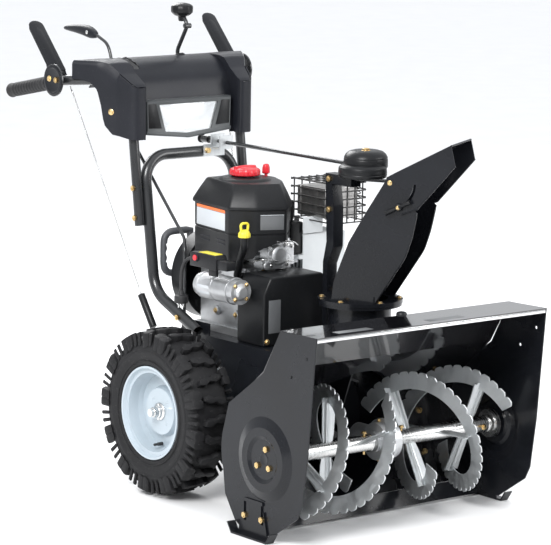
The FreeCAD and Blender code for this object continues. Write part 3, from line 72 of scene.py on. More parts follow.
def new_group(name, inputs, outputs):
    tree = bpy.data.node_groups.new(name, "ShaderNodeTree")
    for label, value in inputs.items():
        socket = tree.interface.new_socket(name=label, in_out="INPUT", socket_type="NodeSocketFloat")
        socket.default_value = value
    for label in outputs:
        tree.interface.new_socket(name=label, in_out="OUTPUT", socket_type="NodeSocketFloat")
    return tree, tree.nodes.new("NodeGroupInput"), tree.nodes.new("NodeGroupOutput")


def noise_node(tree, source, scale, detail, roughness=0.55):
    noise = tree.nodes.new("ShaderNodeTexNoise")
    noise.inputs["Detail"].default_value = detail
    noise.inputs["Roughness"].default_value = roughness
    tree.links.new(source, noise.inputs["Vector"])
    if isinstance(scale, (int, float)):
        noise.inputs["Scale"].default_value = scale
    else:
        tree.links.new(scale, noise.inputs["Scale"])
    return noise.outputs["Fac"]


def range_node(tree, source, low, high, to_low=0.0, to_high=1.0):
    spread = tree.nodes.new("ShaderNodeMapRange")
    for label, value in (("From Min", low), ("From Max", high), ("To Min", to_low), ("To Max", to_high)):
        spread.inputs[label].default_value = value
    tree.links.new(source, spread.inputs["Value"])
    return spread.outputs["Result"]


def handling_marks_group():
    """Broad tone, dust specks and fine grain that every finish shares."""
    tree, given, out = new_group("handling_marks",
                                 {"Tone Scale": 6, "Speck Scale": 160, "Grain Scale": 900},
                                 ["Tone", "Dust", "Grain"])
    place = tree.nodes.new("ShaderNodeTexCoord").outputs["Object"]
    tone = noise_node(tree, place, given.outputs["Tone Scale"], 4)
    specks = noise_node(tree, place, given.outputs["Speck Scale"], 3, 0.7)
    grain = noise_node(tree, place, given.outputs["Grain Scale"], 2)
    tree.links.new(range_node(tree, tone, 0.3, 0.7), out.inputs["Tone"])
    tree.links.new(range_node(tree, specks, 0.60, 0.78), out.inputs["Dust"])
    tree.links.new(grain, out.inputs["Grain"])
    return tree


def brushing_group():
    """Long fine streaks along one direction, for drawn and ground steel."""
    tree, given, out = new_group("brushing", {"Along X": 10, "Along Y": 10, "Along Z": 600}, ["Streak"])
    place = tree.nodes.new("ShaderNodeTexCoord").outputs["Object"]
    stretch = tree.nodes.new("ShaderNodeCombineXYZ")
    for label, axis in (("Along X", "X"), ("Along Y", "Y"), ("Along Z", "Z")):
        tree.links.new(given.outputs[label], stretch.inputs[axis])
    product = tree.nodes.new("ShaderNodeVectorMath")
    product.operation = "MULTIPLY"
    tree.links.new(place, product.inputs[0])
    tree.links.new(stretch.outputs[0], product.inputs[1])
    tree.links.new(noise_node(tree, product.outputs[0], 1.0, 3), out.inputs["Streak"])
    return tree


def spangle_group():
    """Flat grains of differing brightness, as zinc shows."""
    tree, given, out = new_group("spangle", {"Scale": 90}, ["Flake", "Edge"])
    place = tree.nodes.new("ShaderNodeTexCoord").outputs["Object"]
    cells = tree.nodes.new("ShaderNodeTexVoronoi")
    tree.links.new(place, cells.inputs["Vector"])
    tree.links.new(given.outputs["Scale"], cells.inputs["Scale"])
    tone = tree.nodes.new("ShaderNodeSeparateColor")
    tree.links.new(cells.outputs["Color"], tone.inputs[0])
    tree.links.new(tone.outputs[0], out.inputs["Flake"])
    tree.links.new(range_node(tree, cells.outputs["Distance"], 0.0, 0.6), out.inputs["Edge"])
    return tree


HANDLING_MARKS = handling_marks_group()
BRUSHING = brushing_group()
SPANGLE = spangle_group()


# ------------------------------------------------------------------ materials

def use_group(tree, group, **values):
    node = tree.nodes.new("ShaderNodeGroup")
    node.node_tree = group
    for label, value in values.items():
        node.inputs[label.replace("_", " ")].default_value = value
    return node


def colour_between(tree, amount, first, second):
    mix = tree.nodes.new("ShaderNodeMix")
    mix.data_type = "RGBA"
    tree.links.new(amount, mix.inputs[0])
    for socket, colour in ((mix.inputs[6], first), (mix.inputs[7], second)):
        if isinstance(colour, bpy.types.NodeSocket):
            tree.links.new(colour, socket)
        else:
            socket.default_value = (*colour, 1)
    return mix.outputs[2]


def relief(tree, shader, height, distance, strength=1.0):
    bump = tree.nodes.new("ShaderNodeBump")
    bump.inputs["Distance"].default_value = distance
    bump.inputs["Strength"].default_value = strength
    tree.links.new(height, bump.inputs["Height"])
    tree.links.new(bump.outputs["Normal"], shader.inputs["Normal"])


def finish(name, dark, light, rough=(0.3, 0.4), dust=None, dust_share=0.3, grain=0.00002, tone_scale=6,
           speck_scale=160, grain_scale=900, **constants):
    """A finish: two tones, dust in specks, roughness that wanders, and a fine grain in relief."""
    material = bpy.data.materials.new(name)
    material.use_nodes = True
    tree = material.node_tree
    shader = tree.nodes["Principled BSDF"]
    marks = use_group(tree, HANDLING_MARKS, Tone_Scale=tone_scale, Speck_Scale=speck_scale,
                      Grain_Scale=grain_scale)
    colour = colour_between(tree, marks.outputs["Tone"], dark, light)
    if dust:
        share = range_node(tree, marks.outputs["Dust"], 0, 1, 0, dust_share)
        colour = colour_between(tree, share, colour, dust)
    tree.links.new(colour, shader.inputs["Base Color"])
    tree.links.new(range_node(tree, marks.outputs["Tone"], 0, 1, *rough), shader.inputs["Roughness"])
    relief(tree, shader, marks.outputs["Grain"], grain)
    for label, value in constants.items():
        shader.inputs[label.replace("_", " ")].default_value = value
    return material


def galvanised_finish():
    material = finish("galvanised_sheet", (0.50, 0.52, 0.53), (0.66, 0.68, 0.69), Metallic=0.82)
    tree = material.node_tree
    shader = tree.nodes["Principled BSDF"]
    flakes = use_group(tree, SPANGLE, Scale=70)
    streak = use_group(tree, BRUSHING, Along_X=220, Along_Y=14, Along_Z=14)
    wear = colour_between(tree, streak.outputs["Streak"], (0.40, 0.42, 0.43), (0.72, 0.74, 0.75))
    colour = colour_between(tree, range_node(tree, flakes.outputs["Flake"], 0, 1, 0.25, 0.75), wear,
                            (0.60, 0.62, 0.63))
    tree.links.new(colour, shader.inputs["Base Color"])
    tree.links.new(range_node(tree, flakes.outputs["Flake"], 0, 1, 0.34, 0.52), shader.inputs["Roughness"])
    relief(tree, shader, streak.outputs["Streak"], 0.00006)
    return material


def brushed_finish(name, colour, rough, along):
    material = finish(name, colour, colour, Metallic=1.0)
    tree = material.node_tree
    shader = tree.nodes["Principled BSDF"]
    streak = use_group(tree, BRUSHING, Along_X=along[0], Along_Y=along[1], Along_Z=along[2])
    darker = tuple(c * 0.72 for c in colour)
    tree.links.new(colour_between(tree, streak.outputs["Streak"], darker, colour),
                   shader.inputs["Base Color"])
    tree.links.new(range_node(tree, streak.outputs["Streak"], 0.3, 0.7, *rough), shader.inputs["Roughness"])
    relief(tree, shader, streak.outputs["Streak"], 0.00004)
    return material


def cast_finish():
    """Sand-cast aluminium: coarse skin with darker specks."""
    material = finish("cast_aluminium", (0.42, 0.43, 0.44), (0.66, 0.67, 0.68), (0.34, 0.5),
                      (0.25, 0.24, 0.22), 0.5, 0.0003, 14, 260, 420, Metallic=0.85)
    return material


def lens_glass():
    """Clear ribbed cover of the headlight."""
    material = bpy.data.materials.new("lens_clear")
    material.use_nodes = True
    tree = material.node_tree
    shader = tree.nodes["Principled BSDF"]
    marks = use_group(tree, HANDLING_MARKS, Tone_Scale=20)
    tree.links.new(colour_between(tree, marks.outputs["Tone"], (0.93, 0.96, 0.98), (1, 1, 1)),
                   shader.inputs["Base Color"])
    tree.links.new(range_node(tree, marks.outputs["Dust"], 0, 1, 0.04, 0.12), shader.inputs["Roughness"])
    relief(tree, shader, marks.outputs["Grain"], 0.00001)
    shader.inputs["Transmission Weight"].default_value = 0.85
    shader.inputs["IOR"].default_value = 1.49
    return material


BLACK = finish("black_enamel", (0.005, 0.0055, 0.007), (0.009, 0.010, 0.013), (0.22, 0.32),
               (0.16, 0.17, 0.18), 0.10, 0.00004, 5, 240, 350, Specular_IOR_Level=0.22, Coat_Weight=0.12,
               Coat_Roughness=0.10)
GLOSS_BLACK = finish("inner_gloss_enamel", (0.006, 0.006, 0.007), (0.012, 0.012, 0.014), (0.08, 0.16),
                     (0.2, 0.2, 0.2), 0.06, 0.00005, 4, 200, 120, Coat_Weight=1.0, Coat_Roughness=0.03)
TUBE_BLACK = finish("tube_powder_coat", (0.011, 0.012, 0.013), (0.020, 0.021, 0.023), (0.22, 0.34),
                    (0.15, 0.15, 0.15), 0.12, 0.00008, 8, 300, 700, Coat_Weight=0.4, Coat_Roughness=0.15,
                    Specular_IOR_Level=0.4)
PLASTIC = finish("moulded_black_plastic", (0.006, 0.0065, 0.007), (0.010, 0.0105, 0.012), (0.28, 0.40),
                 (0.18, 0.18, 0.18), 0.10, 0.00012, 7, 220, 1400, Specular_IOR_Level=0.26)
SOFT_PLASTIC = finish("satin_black_plastic", (0.008, 0.009, 0.012), (0.013, 0.014, 0.019), (0.30, 0.42),
                      (0.2, 0.2, 0.2), 0.1, 0.00015, 6, 220, 1600, Specular_IOR_Level=0.26)
BEZEL = finish("dark_grey_plastic", (0.045, 0.050, 0.052), (0.065, 0.070, 0.073), (0.38, 0.5),
               (0.3, 0.3, 0.3), 0.1, 0.00012, 9, 240, 1500)
GRIP = finish("grip_rubber", (0.014, 0.014, 0.015), (0.026, 0.026, 0.027), (0.55, 0.7), (0.2, 0.2, 0.2),
              0.2, 0.0002, 10, 200, 1500, Specular_IOR_Level=0.25)
GREY_GRIP = finish("starter_handle_rubber", (0.05, 0.052, 0.058), (0.08, 0.083, 0.09), (0.45, 0.6),
                   (0.3, 0.3, 0.3), 0.15, 0.0002, 12, 200, 1500)
TYRE = finish("tyre_rubber", (0.008, 0.008, 0.009), (0.016, 0.016, 0.017), (0.52, 0.72),
              (0.14, 0.135, 0.13), 0.35, 0.00035, 12, 150, 700, Specular_IOR_Level=0.22)
RIM = finish("rim_silver_paint", (0.36, 0.42, 0.46), (0.44, 0.50, 0.55), (0.26, 0.36), (0.5, 0.5, 0.5),
             0.25, 0.00006, 7, 260, 500, Metallic=0.1, Coat_Weight=0.3)
WIRE = finish("wire_black_paint", (0.012, 0.012, 0.012), (0.03, 0.029, 0.028), (0.35, 0.5),
              (0.2, 0.17, 0.14), 0.3, 0.0001, 20, 400, 900)
CORD = finish("cord_jacket", (0.012, 0.012, 0.013), (0.02, 0.02, 0.021), (0.45, 0.6), (0.15, 0.15, 0.15),
              0.2, 0.0001, 20, 300, 1200)
BELT = finish("belt_rubber", (0.014, 0.014, 0.014), (0.03, 0.029, 0.028), (0.6, 0.8), (0.2, 0.2, 0.18), 0.4,
              0.0003, 15, 300, 900)
RED = finish("red_plastic", (0.52, 0.006, 0.016), (0.66, 0.012, 0.024), (0.22, 0.32), (0.7, 0.3, 0.3), 0.1,
             0.00006, 12, 220, 900, Coat_Weight=0.3)
YELLOW = finish("yellow_plastic", (0.70, 0.58, 0.03), (0.80, 0.70, 0.06), (0.3, 0.42), (0.4, 0.35, 0.1),
                0.15, 0.00006, 12, 220, 900)
SHIELD = finish("shield_white_coat", (0.70, 0.73, 0.75), (0.82, 0.85, 0.86), (0.34, 0.46),
                (0.5, 0.48, 0.45), 0.2, 0.00008, 8, 240, 500)
ZINC_GOLD = finish("yellow_zinc", (0.60, 0.40, 0.16), (0.82, 0.62, 0.32), (0.22, 0.36), (0.7, 0.75, 0.6),
                   0.3, 0.00005, 60, 500, 900, Metallic=1.0)
CAST = cast_finish()
GALVANISED = galvanised_finish()
BRIGHT = brushed_finish("bright_steel", (0.80, 0.80, 0.79), (0.16, 0.32), (300, 20, 20))
# Bright metal for the housing's front edge: partly the bare folded edge, partly the highlight along it
# painted in as bright metal.
BARE_EDGE_AND_HIGHLIGHT = brushed_finish("bare_edge_and_highlight_aluminium", (0.88, 0.88, 0.88), (0.12, 0.24), (15, 500, 500))
MUFFLER = brushed_finish("muffler_steel", (0.52, 0.51, 0.50), (0.30, 0.50), (20, 200, 60))
GLASS = lens_glass()
# Silver reflector with a faint white emission: painted glow standing in for the reflections in the bowl.
REFLECTOR_PAINTED_GLOW = finish("reflector_silver_painted_glow", (0.92, 0.93, 0.94), (0.97, 0.98, 0.99), (0.12, 0.2), Metallic=0.35,
                   Emission_Color=(1, 1, 1, 1), Emission_Strength=0.25)
PLATE_WHITE = finish("plain_label_white", (0.50, 0.53, 0.56), (0.58, 0.60, 0.62), (0.4, 0.5),
                     (0.5, 0.5, 0.5), 0.1)
PLATE_ORANGE = finish("plain_label_orange", (0.72, 0.16, 0.04), (0.80, 0.20, 0.06), (0.4, 0.5),
                      (0.5, 0.4, 0.3), 0.1)
PLATE_GREY = finish("plain_label_grey", (0.10, 0.105, 0.11), (0.15, 0.155, 0.16), (0.3, 0.4),
                    (0.3, 0.3, 0.3), 0.1)
FLOOR = finish("studio_floor", (0.86, 0.86, 0.86), (0.89, 0.89, 0.89), (0.5, 0.6), grain=0.0001)


# ------------------------------------------------------------------ mesh helpers

def settle(piece, rounding=0.0, segments=2, angle=35, thickness=0.0, subdivide=0):
    """Apply thickness, rounding and smooth shading, and leave a plain mesh."""
    mesh = piece.data
    work = bmesh.new()
    work.from_mesh(mesh)
    bmesh.ops.remove_doubles(work, verts=work.verts, dist=0.00001)
    bmesh.ops.recalc_face_normals(work, faces=work.faces)
    work.to_mesh(mesh)
    work.free()
    if thickness:
        solid = piece.modifiers.new("Sheet", "SOLIDIFY")
        solid.thickness = thickness * MM
        solid.offset = 0
    if rounding:
        bevel = piece.modifiers.new("Rounding", "BEVEL")
        bevel.width = rounding * MM
        bevel.segments = segments
        bevel.limit_method = "ANGLE"
        bevel.angle_limit = math.radians(28)
    if subdivide:
        smooth = piece.modifiers.new("Smooth", "SUBSURF")
        smooth.levels = smooth.render_levels = subdivide
    bpy.context.view_layer.update()
    baked = bpy.data.meshes.new_from_object(piece.evaluated_get(bpy.context.evaluated_depsgraph_get()))
    piece.modifiers.clear()
    piece.data = baked
    baked.shade_smooth()
    baked.set_sharp_from_angle(angle=math.radians(angle))
    return piece


def new_piece(name, vertices, faces, material, body, slot, **shape):
    """A mesh in millimetres, finished and set on its body."""
    mesh = bpy.data.meshes.new(name)
    mesh.from_pydata([Vector(v) * MM for v in vertices], [], faces)
    mesh.validate()
    mesh.materials.append(material)
    piece = bpy.data.objects.new(name, mesh)
    scene.collection.objects.link(piece)
    settle(piece, **shape)
    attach(piece, body)
    return piece


def turned_frame(axis):
    """Two directions across an axis."""
    axis = Vector(axis).normalized()
    helper = Z if abs(axis.z) < 0.9 else X
    across = axis.cross(helper).normalized()
    return axis, across, axis.cross(across)


def lathe_mesh(profile, centre, axis, steps=48, closed=False, lobes=0, depth=0.0):
    """A profile of (along, radius) turned round an axis; lobes press grip hollows in."""
    axis, across, up = turned_frame(axis)
    vertices, faces = [], []
    count = len(profile)
    for step in range(steps):
        turn = 2 * math.pi * step / steps
        wave = 1 - depth * (0.5 - 0.5 * math.cos(lobes * turn)) if lobes else 1
        direction = across * math.cos(turn) + up * math.sin(turn)
        for along, radius in profile:
            vertices.append(Vector(centre) + axis * along + direction * radius * wave)
    for step in range(steps):
        here, there = step * count, (step + 1) % steps * count
        for index in range(count if closed else count - 1):
            following = (index + 1) % count
            faces.append((here + index, here + following, there + following, there + index))
    if not closed:
        faces.append([step * count for step in range(steps)])
        faces.append([step * count + count - 1 for step in range(steps)])
    return vertices, faces


def prism_mesh(outline, start, end, spot):
    """An outline in a plane, extruded from start to end; spot(a, b, c) puts a point in the machine."""
    count = len(outline)
    vertices = [spot(a, b, level) for level in (start, end) for a, b in outline]
    faces = [list(range(count)), list(range(count, 2 * count))]
    faces += [(i, (i + 1) % count, count + (i + 1) % count, count + i) for i in range(count)]
    return vertices, faces


def block_mesh(low, high, turn=None, pivot=(0, 0, 0)):
    """A block by its corners, turned by a matrix about a pivot."""
    corners = [(low[0], low[1]), (high[0], low[1]), (high[0], high[1]), (low[0], high[1])]
    pivot = Vector(pivot)
    turn = turn or Matrix.Identity(3)
    return prism_mesh(corners, low[2], high[2], lambda a, b, c: pivot + turn @ (Vector((a, b, c)) - pivot))


def tube_mesh(points, radius, steps=14, closed=False, swell=None):
    """A round bar through points, with its ends capped."""
    points = [Vector(p) for p in points]
    vertices, faces = [], []
    count = len(points)
    side = None
    for index, point in enumerate(points):
        before = points[index - 1] if index or closed else points[0]
        after = points[(index + 1) % count] if index < count - 1 or closed else points[-1]
        heading = (after - before).normalized()
        if side is None:
            side = turned_frame(heading)[1]
        side = (side - heading * side.dot(heading)).normalized()
        up = heading.cross(side)
        size = radius * (swell(index / (count - 1)) if swell else 1)
        for step in range(steps):
            turn = 2 * math.pi * step / steps
            vertices.append(point + (side * math.cos(turn) + up * math.sin(turn)) * size)
    for index in range(count if closed else count - 1):
        here, there = index * steps, (index + 1) % count * steps
        faces += [(here + s, here + (s + 1) % steps, there + (s + 1) % steps,
                   there + s) for s in range(steps)]
    if not closed:
        faces += [list(range(steps)), list(range((count - 1) * steps, count * steps))]
    return vertices, faces


def rounded_path(points, reach, pieces=6):
    """Corner points replaced by short curves that start reach before each corner."""
    points = [Vector(p) for p in points]
    path = [points[0]]
    for before, here, after in zip(points, points[1:], points[2:]):
        enter = here + (before - here).normalized() * min(reach, (before - here).length * 0.48)
        leave = here + (after - here).normalized() * min(reach, (after - here).length * 0.48)
        for step in range(pieces + 1):
            share = step / pieces
            path.append(enter.lerp(here, share).lerp(here.lerp(leave, share), share))
    return path + [points[-1]]


def joined(*parts):
    """Several (vertices, faces) as one."""
    vertices, faces = [], []
    for part_vertices, part_faces in parts:
        offset = len(vertices)
        vertices += list(part_vertices)
        faces += [tuple(i + offset for i in face) for face in part_faces]
    return vertices, faces


def bolt_mesh(spot, outward, radius=7.5, height=5):
    """Hexagon head with a washer face and a domed crown."""
    washer = lathe_mesh([(0, radius * 1.25), (1.2, radius * 1.25), (1.6, radius * 1.05)], spot, outward, 24)
    head = lathe_mesh([(1.2, radius), (height, radius), (height + 1, radius * 0.75)], spot, outward, 6)
    return joined(washer, head)


# ------------------------------------------------------------------ finishes of the frame nodes

NODE_FINISH = {
    BLACK: ["side_plate_right", "side_plate_left", "scraper_bar", "skid_shoes", "impeller_drum",
            "tractor_frame",
            "chute", "chute_strap", "deflector", "gear_bracket", "impeller"],
    GLOSS_BLACK: ["auger_housing"],
    TUBE_BLACK: ["lower_handle", "upper_handles", "chute_rod", "shift_rod"],
    PLASTIC: ["recoil_housing", "oil_filler_tube"],
    BRIGHT: ["auger_shaft", "axle_shaft", "bearings", "crankshaft", "drive_disc", "cross_shaft"],
    GALVANISED: ["rod_bracket"],
    CAST: ["auger_gear_case", "crankcase", "cylinder_head", "starter_motor"],
    MUFFLER: ["muffler"], WIRE: ["muffler_guard"], SHIELD: ["heat_shield"], RED: ["start_button"],
    GRIP: ["friction_wheel"], BELT: ["belts"], RIM: ["rims"], ZINC_GOLD: ["bolts"],
}


def finish_frame_nodes():
    for material, names in NODE_FINISH.items():
        for name in names:
            slots = NODES[name].material_slots
            for slot in slots:
                slot.link = "OBJECT"
                slot.material = material


# ------------------------------------------------------------------ wheels

AXLE = Vector((0, 0, middle("axle_shaft").z))
TYRE_OUTER = (low_high("tyres")[1].z - low_high("tyres")[0].z) / 2 - 1
WHEEL_CENTRE = (low_high("tyres")[1].x + 200) / 2
TYRE_HALF = low_high("tyres")[1].x - WHEEL_CENTRE
LUG_COUNT = 25
LUG_SHARE = 0.84


def crown(across):
    """Outer radius of a lug at a distance across from the middle of the tread."""
    return TYRE_OUTER - 0.4 - 8.5 * (abs(across) / TYRE_HALF) ** 3


def carcass(across):
    return TYRE_OUTER - 15 - 26 * (abs(across) / TYRE_HALF) ** 6


def lug_mesh(outline, degrees, centre_x):
    """A tread block: an outline of (across, along) points, set on the carcass at an angle."""
    vertices = []
    for level in (0, 1):
        for across, along in outline:
            radius = crown(across) if level else carcass(across) - 4
            angle = math.radians(degrees) + along * LUG_SHARE * (0.94 if level else 1.05) / TYRE_OUTER
            side = across * (0.985 if level else 1.0)
            vertices.append((centre_x + side, radius * math.sin(angle), AXLE.z + radius * math.cos(angle)))
    count = len(outline)
    faces = [list(range(count)), list(range(count, 2 * count))]
    faces += [(i, (i + 1) % count, count + (i + 1) % count, count + i) for i in range(count)]
    return vertices, faces


def make_tyre(label, side):
    centre_x = WHEEL_CENTRE * side
    centre = Vector((centre_x, 0, AXLE.z))
    half, tread = TYRE_HALF - 2.5, TYRE_OUTER - 15
    profile = [(41, 99), (41.8, 107.5), (50.5, 113.8), (56, 118), (half - 3, 132), (half - 0.5, 142),
               (half, 150), (half - 1.5, 151.5), (half - 1, 158), (half - 5, 170), (half - 15, tread - 5),
               (24, tread), (0, tread)]
    profile += [(-across, radius) for across, radius in profile[-2::-1]]
    parts = [lathe_mesh(profile, centre, X, 96, closed=True)]
    parts += [lathe_mesh([(edge * 57.2, 124), (edge * 58.8, 125.5), (edge * 57.6, 128)], centre, X, 96,
                         closed=True) for edge in (-1, 1)]
    middle_lug = [(-33, -17), (-17, -20), (-3, -9), (14, -13), (31, -4), (33, 9), (16, 13), (2, 3),
                  (-14, 5), (-31, -2)]
    edge_lug = [(37, -16), (48, -19), (58, -17), (60.5, -8), (60.5, 8), (57, 14), (44, 12), (36, 4)]
    for index in range(LUG_COUNT):
        degrees = 360 * index / LUG_COUNT
        flip = 1 if index % 2 else -1
        parts.append(lug_mesh([(a * flip, b) for a, b in middle_lug], degrees, centre_x))
        for edge in (-1, 1):
            parts.append(lug_mesh([(a * edge, b) for a, b in edge_lug],
                                  degrees + (4.5 if edge * flip > 0 else 13), centre_x))
            parts.append(lug_mesh([(a * edge * 0.97, b * 0.45) for a,
                                   b in edge_lug[2:6]] + [(edge * 49, 0)],
                                  degrees + (13 if edge * flip > 0 else 4.5), centre_x))
    piece = new_piece(label, *joined(*parts), TYRE, "wheels", "tyre_rubber", rounding=1.6, angle=40)
    return piece


def make_wheels():
    right = make_tyre("tyre_right", -1)
    make_tyre("tyre_left", 1)
    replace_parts(right, "tyres")
    for label, side in (("right", -1), ("left", 1)):
        out = Vector((side, 0, 0))
        face = Vector(((WHEEL_CENTRE + 24) * side, 0, AXLE.z))
        cap = lathe_mesh([(-3, 21), (0, 22), (2, 20.5), (3, 16), (8, 15), (9, 12.5), (20, 12.4),
                          (21.5, 11)], face, out, 40)
        new_piece("hub_collar_" + label, *cap, BRIGHT, "wheels", "bright_steel", rounding=0.5)
        studs = []
        for index in range(4):
            turn = math.radians(45 + 90 * index)
            seat = face + Vector((-5 * side, 38 * math.cos(turn), 38 * math.sin(turn)))
            studs.append(lathe_mesh([(0, 5.5), (1.5, 5.5), (3.5, 3.5), (4.2, 1.5)], seat, out, 20))
        valve = lathe_mesh([(-4, 4.6), (10, 4.2), (11, 3.2), (20, 3.2), (21, 2.6)],
                           Vector(((WHEEL_CENTRE + 18) * side, 0, AXLE.z - 80)), out, 18)
        new_piece("rim_rivets_" + label, *joined(*studs), RIM, "wheels", "rim_paint", rounding=0.3)
        new_piece("valve_stem_" + label, *valve, CORD, "wheels", "cord_rubber", rounding=0.3)


# ------------------------------------------------------------------ auger

AUGER = middle("auger_shaft")
FLIGHT_START, FLIGHT_PITCH, FLIGHT_TURN = 46, 280, 0.86
FLIGHT_PHASE = {1: 112, -1: 27}
FLIGHT_OUTER, FLIGHT_INNER = 151.5, 110
LOBES = 31


def flight_point(share, start_degrees, radius, shift, side):
    """A point of a ribbon at a share of its length."""
    angle = math.radians(start_degrees + 360 * FLIGHT_TURN * share)
    x = FLIGHT_START + FLIGHT_PITCH * FLIGHT_TURN * share + shift
    return Vector((x * side, AUGER.y - radius * math.sin(angle), AUGER.z + radius * math.cos(angle)))


def flight_mesh(start_degrees, side):
    """Ribbon with rounded teeth along its outer edge."""
    steps = LOBES * 10
    vertices, faces = [], []
    for step in range(steps + 1):
        share = step / steps
        place = share * LOBES % 1
        tooth = FLIGHT_OUTER - 8.5 * abs(2 * place - 1) ** 5 - (2.5 * place if place > 0.8 else 0)
        for radius, shift in ((FLIGHT_INNER, 0), (tooth, 0), (tooth, 3.4), (FLIGHT_INNER, 3.4)):
            vertices.append(flight_point(share, start_degrees, radius, shift, side))
    for step in range(steps):
        here, there = step * 4, step * 4 + 4
        faces += [(here + i, here + (i + 1) % 4, there + (i + 1) % 4, there + i) for i in range(4)]
    faces += [(0, 1, 2, 3), tuple(steps * 4 + i for i in range(4))]
    return vertices, faces


def arm_mesh(share, start_degrees, side):
    """Pressed arm with two ribs, from the sleeve to the ribbon."""
    root = flight_point(share, start_degrees, 16, 2, side)
    tip = flight_point(share, start_degrees, FLIGHT_INNER + 14, 2, side)
    outward = (tip - root).normalized()
    flat = X * side
    face = outward.cross(flat)
    section = [(-19, 3), (-19, 0), (-12, -1.5), (-9, 3.5), (-4, 3.5), (0, -0.5), (4, 3.5), (9, 3.5),
               (12, -1.5), (19, 0), (19, 3), (12, 1.2), (9, 6), (4, 6), (0, 2.2), (-4, 6), (-9, 6),
               (-12, 1.2)]
    vertices = []
    for along, width in ((0, 0.72), (0.2, 0.9), (0.75, 1.0), (1, 1.12)):
        centre = root.lerp(tip, along)
        vertices += [centre + flat * a * width + face * b for a, b in section]
    count = len(section)
    faces = [tuple(range(count)), tuple(range(3 * count, 4 * count))]
    for ring in range(3):
        here, there = ring * count, ring * count + count
        faces += [(here + i, here + (i + 1) % count, there + (i + 1) % count,
                   there + i) for i in range(count)]
    return vertices, faces


def make_auger(label, side):
    ribbons, arms = [], []
    for start in (FLIGHT_PHASE[side], FLIGHT_PHASE[side] + 180):
        ribbons.append(flight_mesh(start, side))
        arms += [arm_mesh(share, start, side) for share in (0.12, 0.5, 0.88)]
    piece = new_piece(label + "_flights", *joined(*ribbons), GALVANISED, "auger", "galvanised",
                      rounding=0.5, segments=1)
    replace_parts(piece, label)
    new_piece(label + "_arms", *joined(*arms), GALVANISED, "auger", "galvanised", angle=50)
    sleeve = [(0, 21), (5, 21), (6, 19), (280, 19), (281, 21), (286, 21)]
    start = Vector((39 * side, AUGER.y, AUGER.z))
    new_piece(label + "_sleeve", *lathe_mesh(sleeve, start, X * side, 40), BRIGHT, "auger",
              "bright_steel", rounding=0.8)
    pin = start + Vector((18 * side, 0, -26))
    pins = [tube_mesh([pin, pin + Z * 52], 3.2), bolt_mesh(pin + Z * 50, Z, 6, 4)]
    far = start + Vector((255 * side, -27, 0))
    pins += [tube_mesh([far, far + Y * 54], 3.2), bolt_mesh(far, -Y, 6, 4)]
    new_piece(label + "_shear_bolts", *joined(*pins), ZINC_GOLD, "auger", "zinc_gold", rounding=0.3)


def make_bearing_caps():
    """Plain round cover over each end of the auger shaft, inside the pressed dish."""
    for label, side in (("right", -1), ("left", 1)):
        seat = Vector((low_high("side_plate_left")[1].x * side, AUGER.y, AUGER.z)) - X * side * 6.5
        cap = lathe_mesh([(-6, 17), (0.4, 17), (1.4, 16), (1.8, 13), (1.2, 11)], seat, X * side, 48)
        new_piece("bearing_cap_" + label, *cap, BLACK, "frame", "black_paint", rounding=0.3)


def make_gear_case_bolts():
    """Bolts round the flange of the worm case."""
    heads = []
    for degrees in (35, 80, 125, 235, 280, 325):
        turn = math.radians(degrees)
        spot = AUGER + Vector((5, 47 * math.cos(turn), 47 * math.sin(turn)))
        heads += [bolt_mesh(spot, X, 4.2, 3), bolt_mesh(spot - X * 10, -X, 4.2, 3)]
    new_piece("gear_case_bolts", *joined(*heads), ZINC_GOLD, "frame", "zinc_gold", rounding=0.3)


# ------------------------------------------------------------------ housing and chute trim

def make_housing_trim():
    low, high = low_high("auger_housing")
    # Bright strip along the front top edge: partly bare metal, partly a painted highlight of the folded
    # edge.
    strip = [(low.y + 0.1, high.z - 3.1), (low.y + 0.1, high.z - 11), (low.y + 3, high.z - 12),
             (low.y + 3.5, high.z - 3.1)]
    new_piece("housing_edge_bare_and_highlight", *prism_mesh(strip, low.x + 1, high.x - 1, lambda a, b, c: (c, a, b)),
              BARE_EDGE_AND_HIGHLIGHT, "frame", "bright_steel", rounding=0.6)
    top = high.z + 0.1
    panels = []
    for low_x, high_x in ((-265, -165), (5, 110)):
        panels.append(prism_mesh([(low_x, low.y + 22), (high_x, low.y + 22), (high_x, low.y + 46),
                                  (low_x, low.y + 46)], top - 0.6, top + 0.3, lambda a, b,
                                 c: (a, b, c - (b - low.y) * 0.016)))
    new_piece("housing_plain_panels", *joined(*panels), PLATE_GREY, "frame", "black_paint", rounding=0.2)
    knob = lathe_mesh([(0, 9), (4, 9.5), (6, 12), (12, 13), (16, 11), (17.5, 6)],
                      (20, low.y + 140, high.z - 14), Z, 28)
    new_piece("housing_top_button", *knob, PLASTIC, "frame", "black_plastic", rounding=0.4)


CHUTE_AXIS = Vector((85, -300, 0))
CHUTE_TURN = Matrix.Rotation(math.radians(-60), 3, "Z")


def on_chute(across, side, z):
    return CHUTE_AXIS + CHUTE_TURN @ Vector((across, side, z))


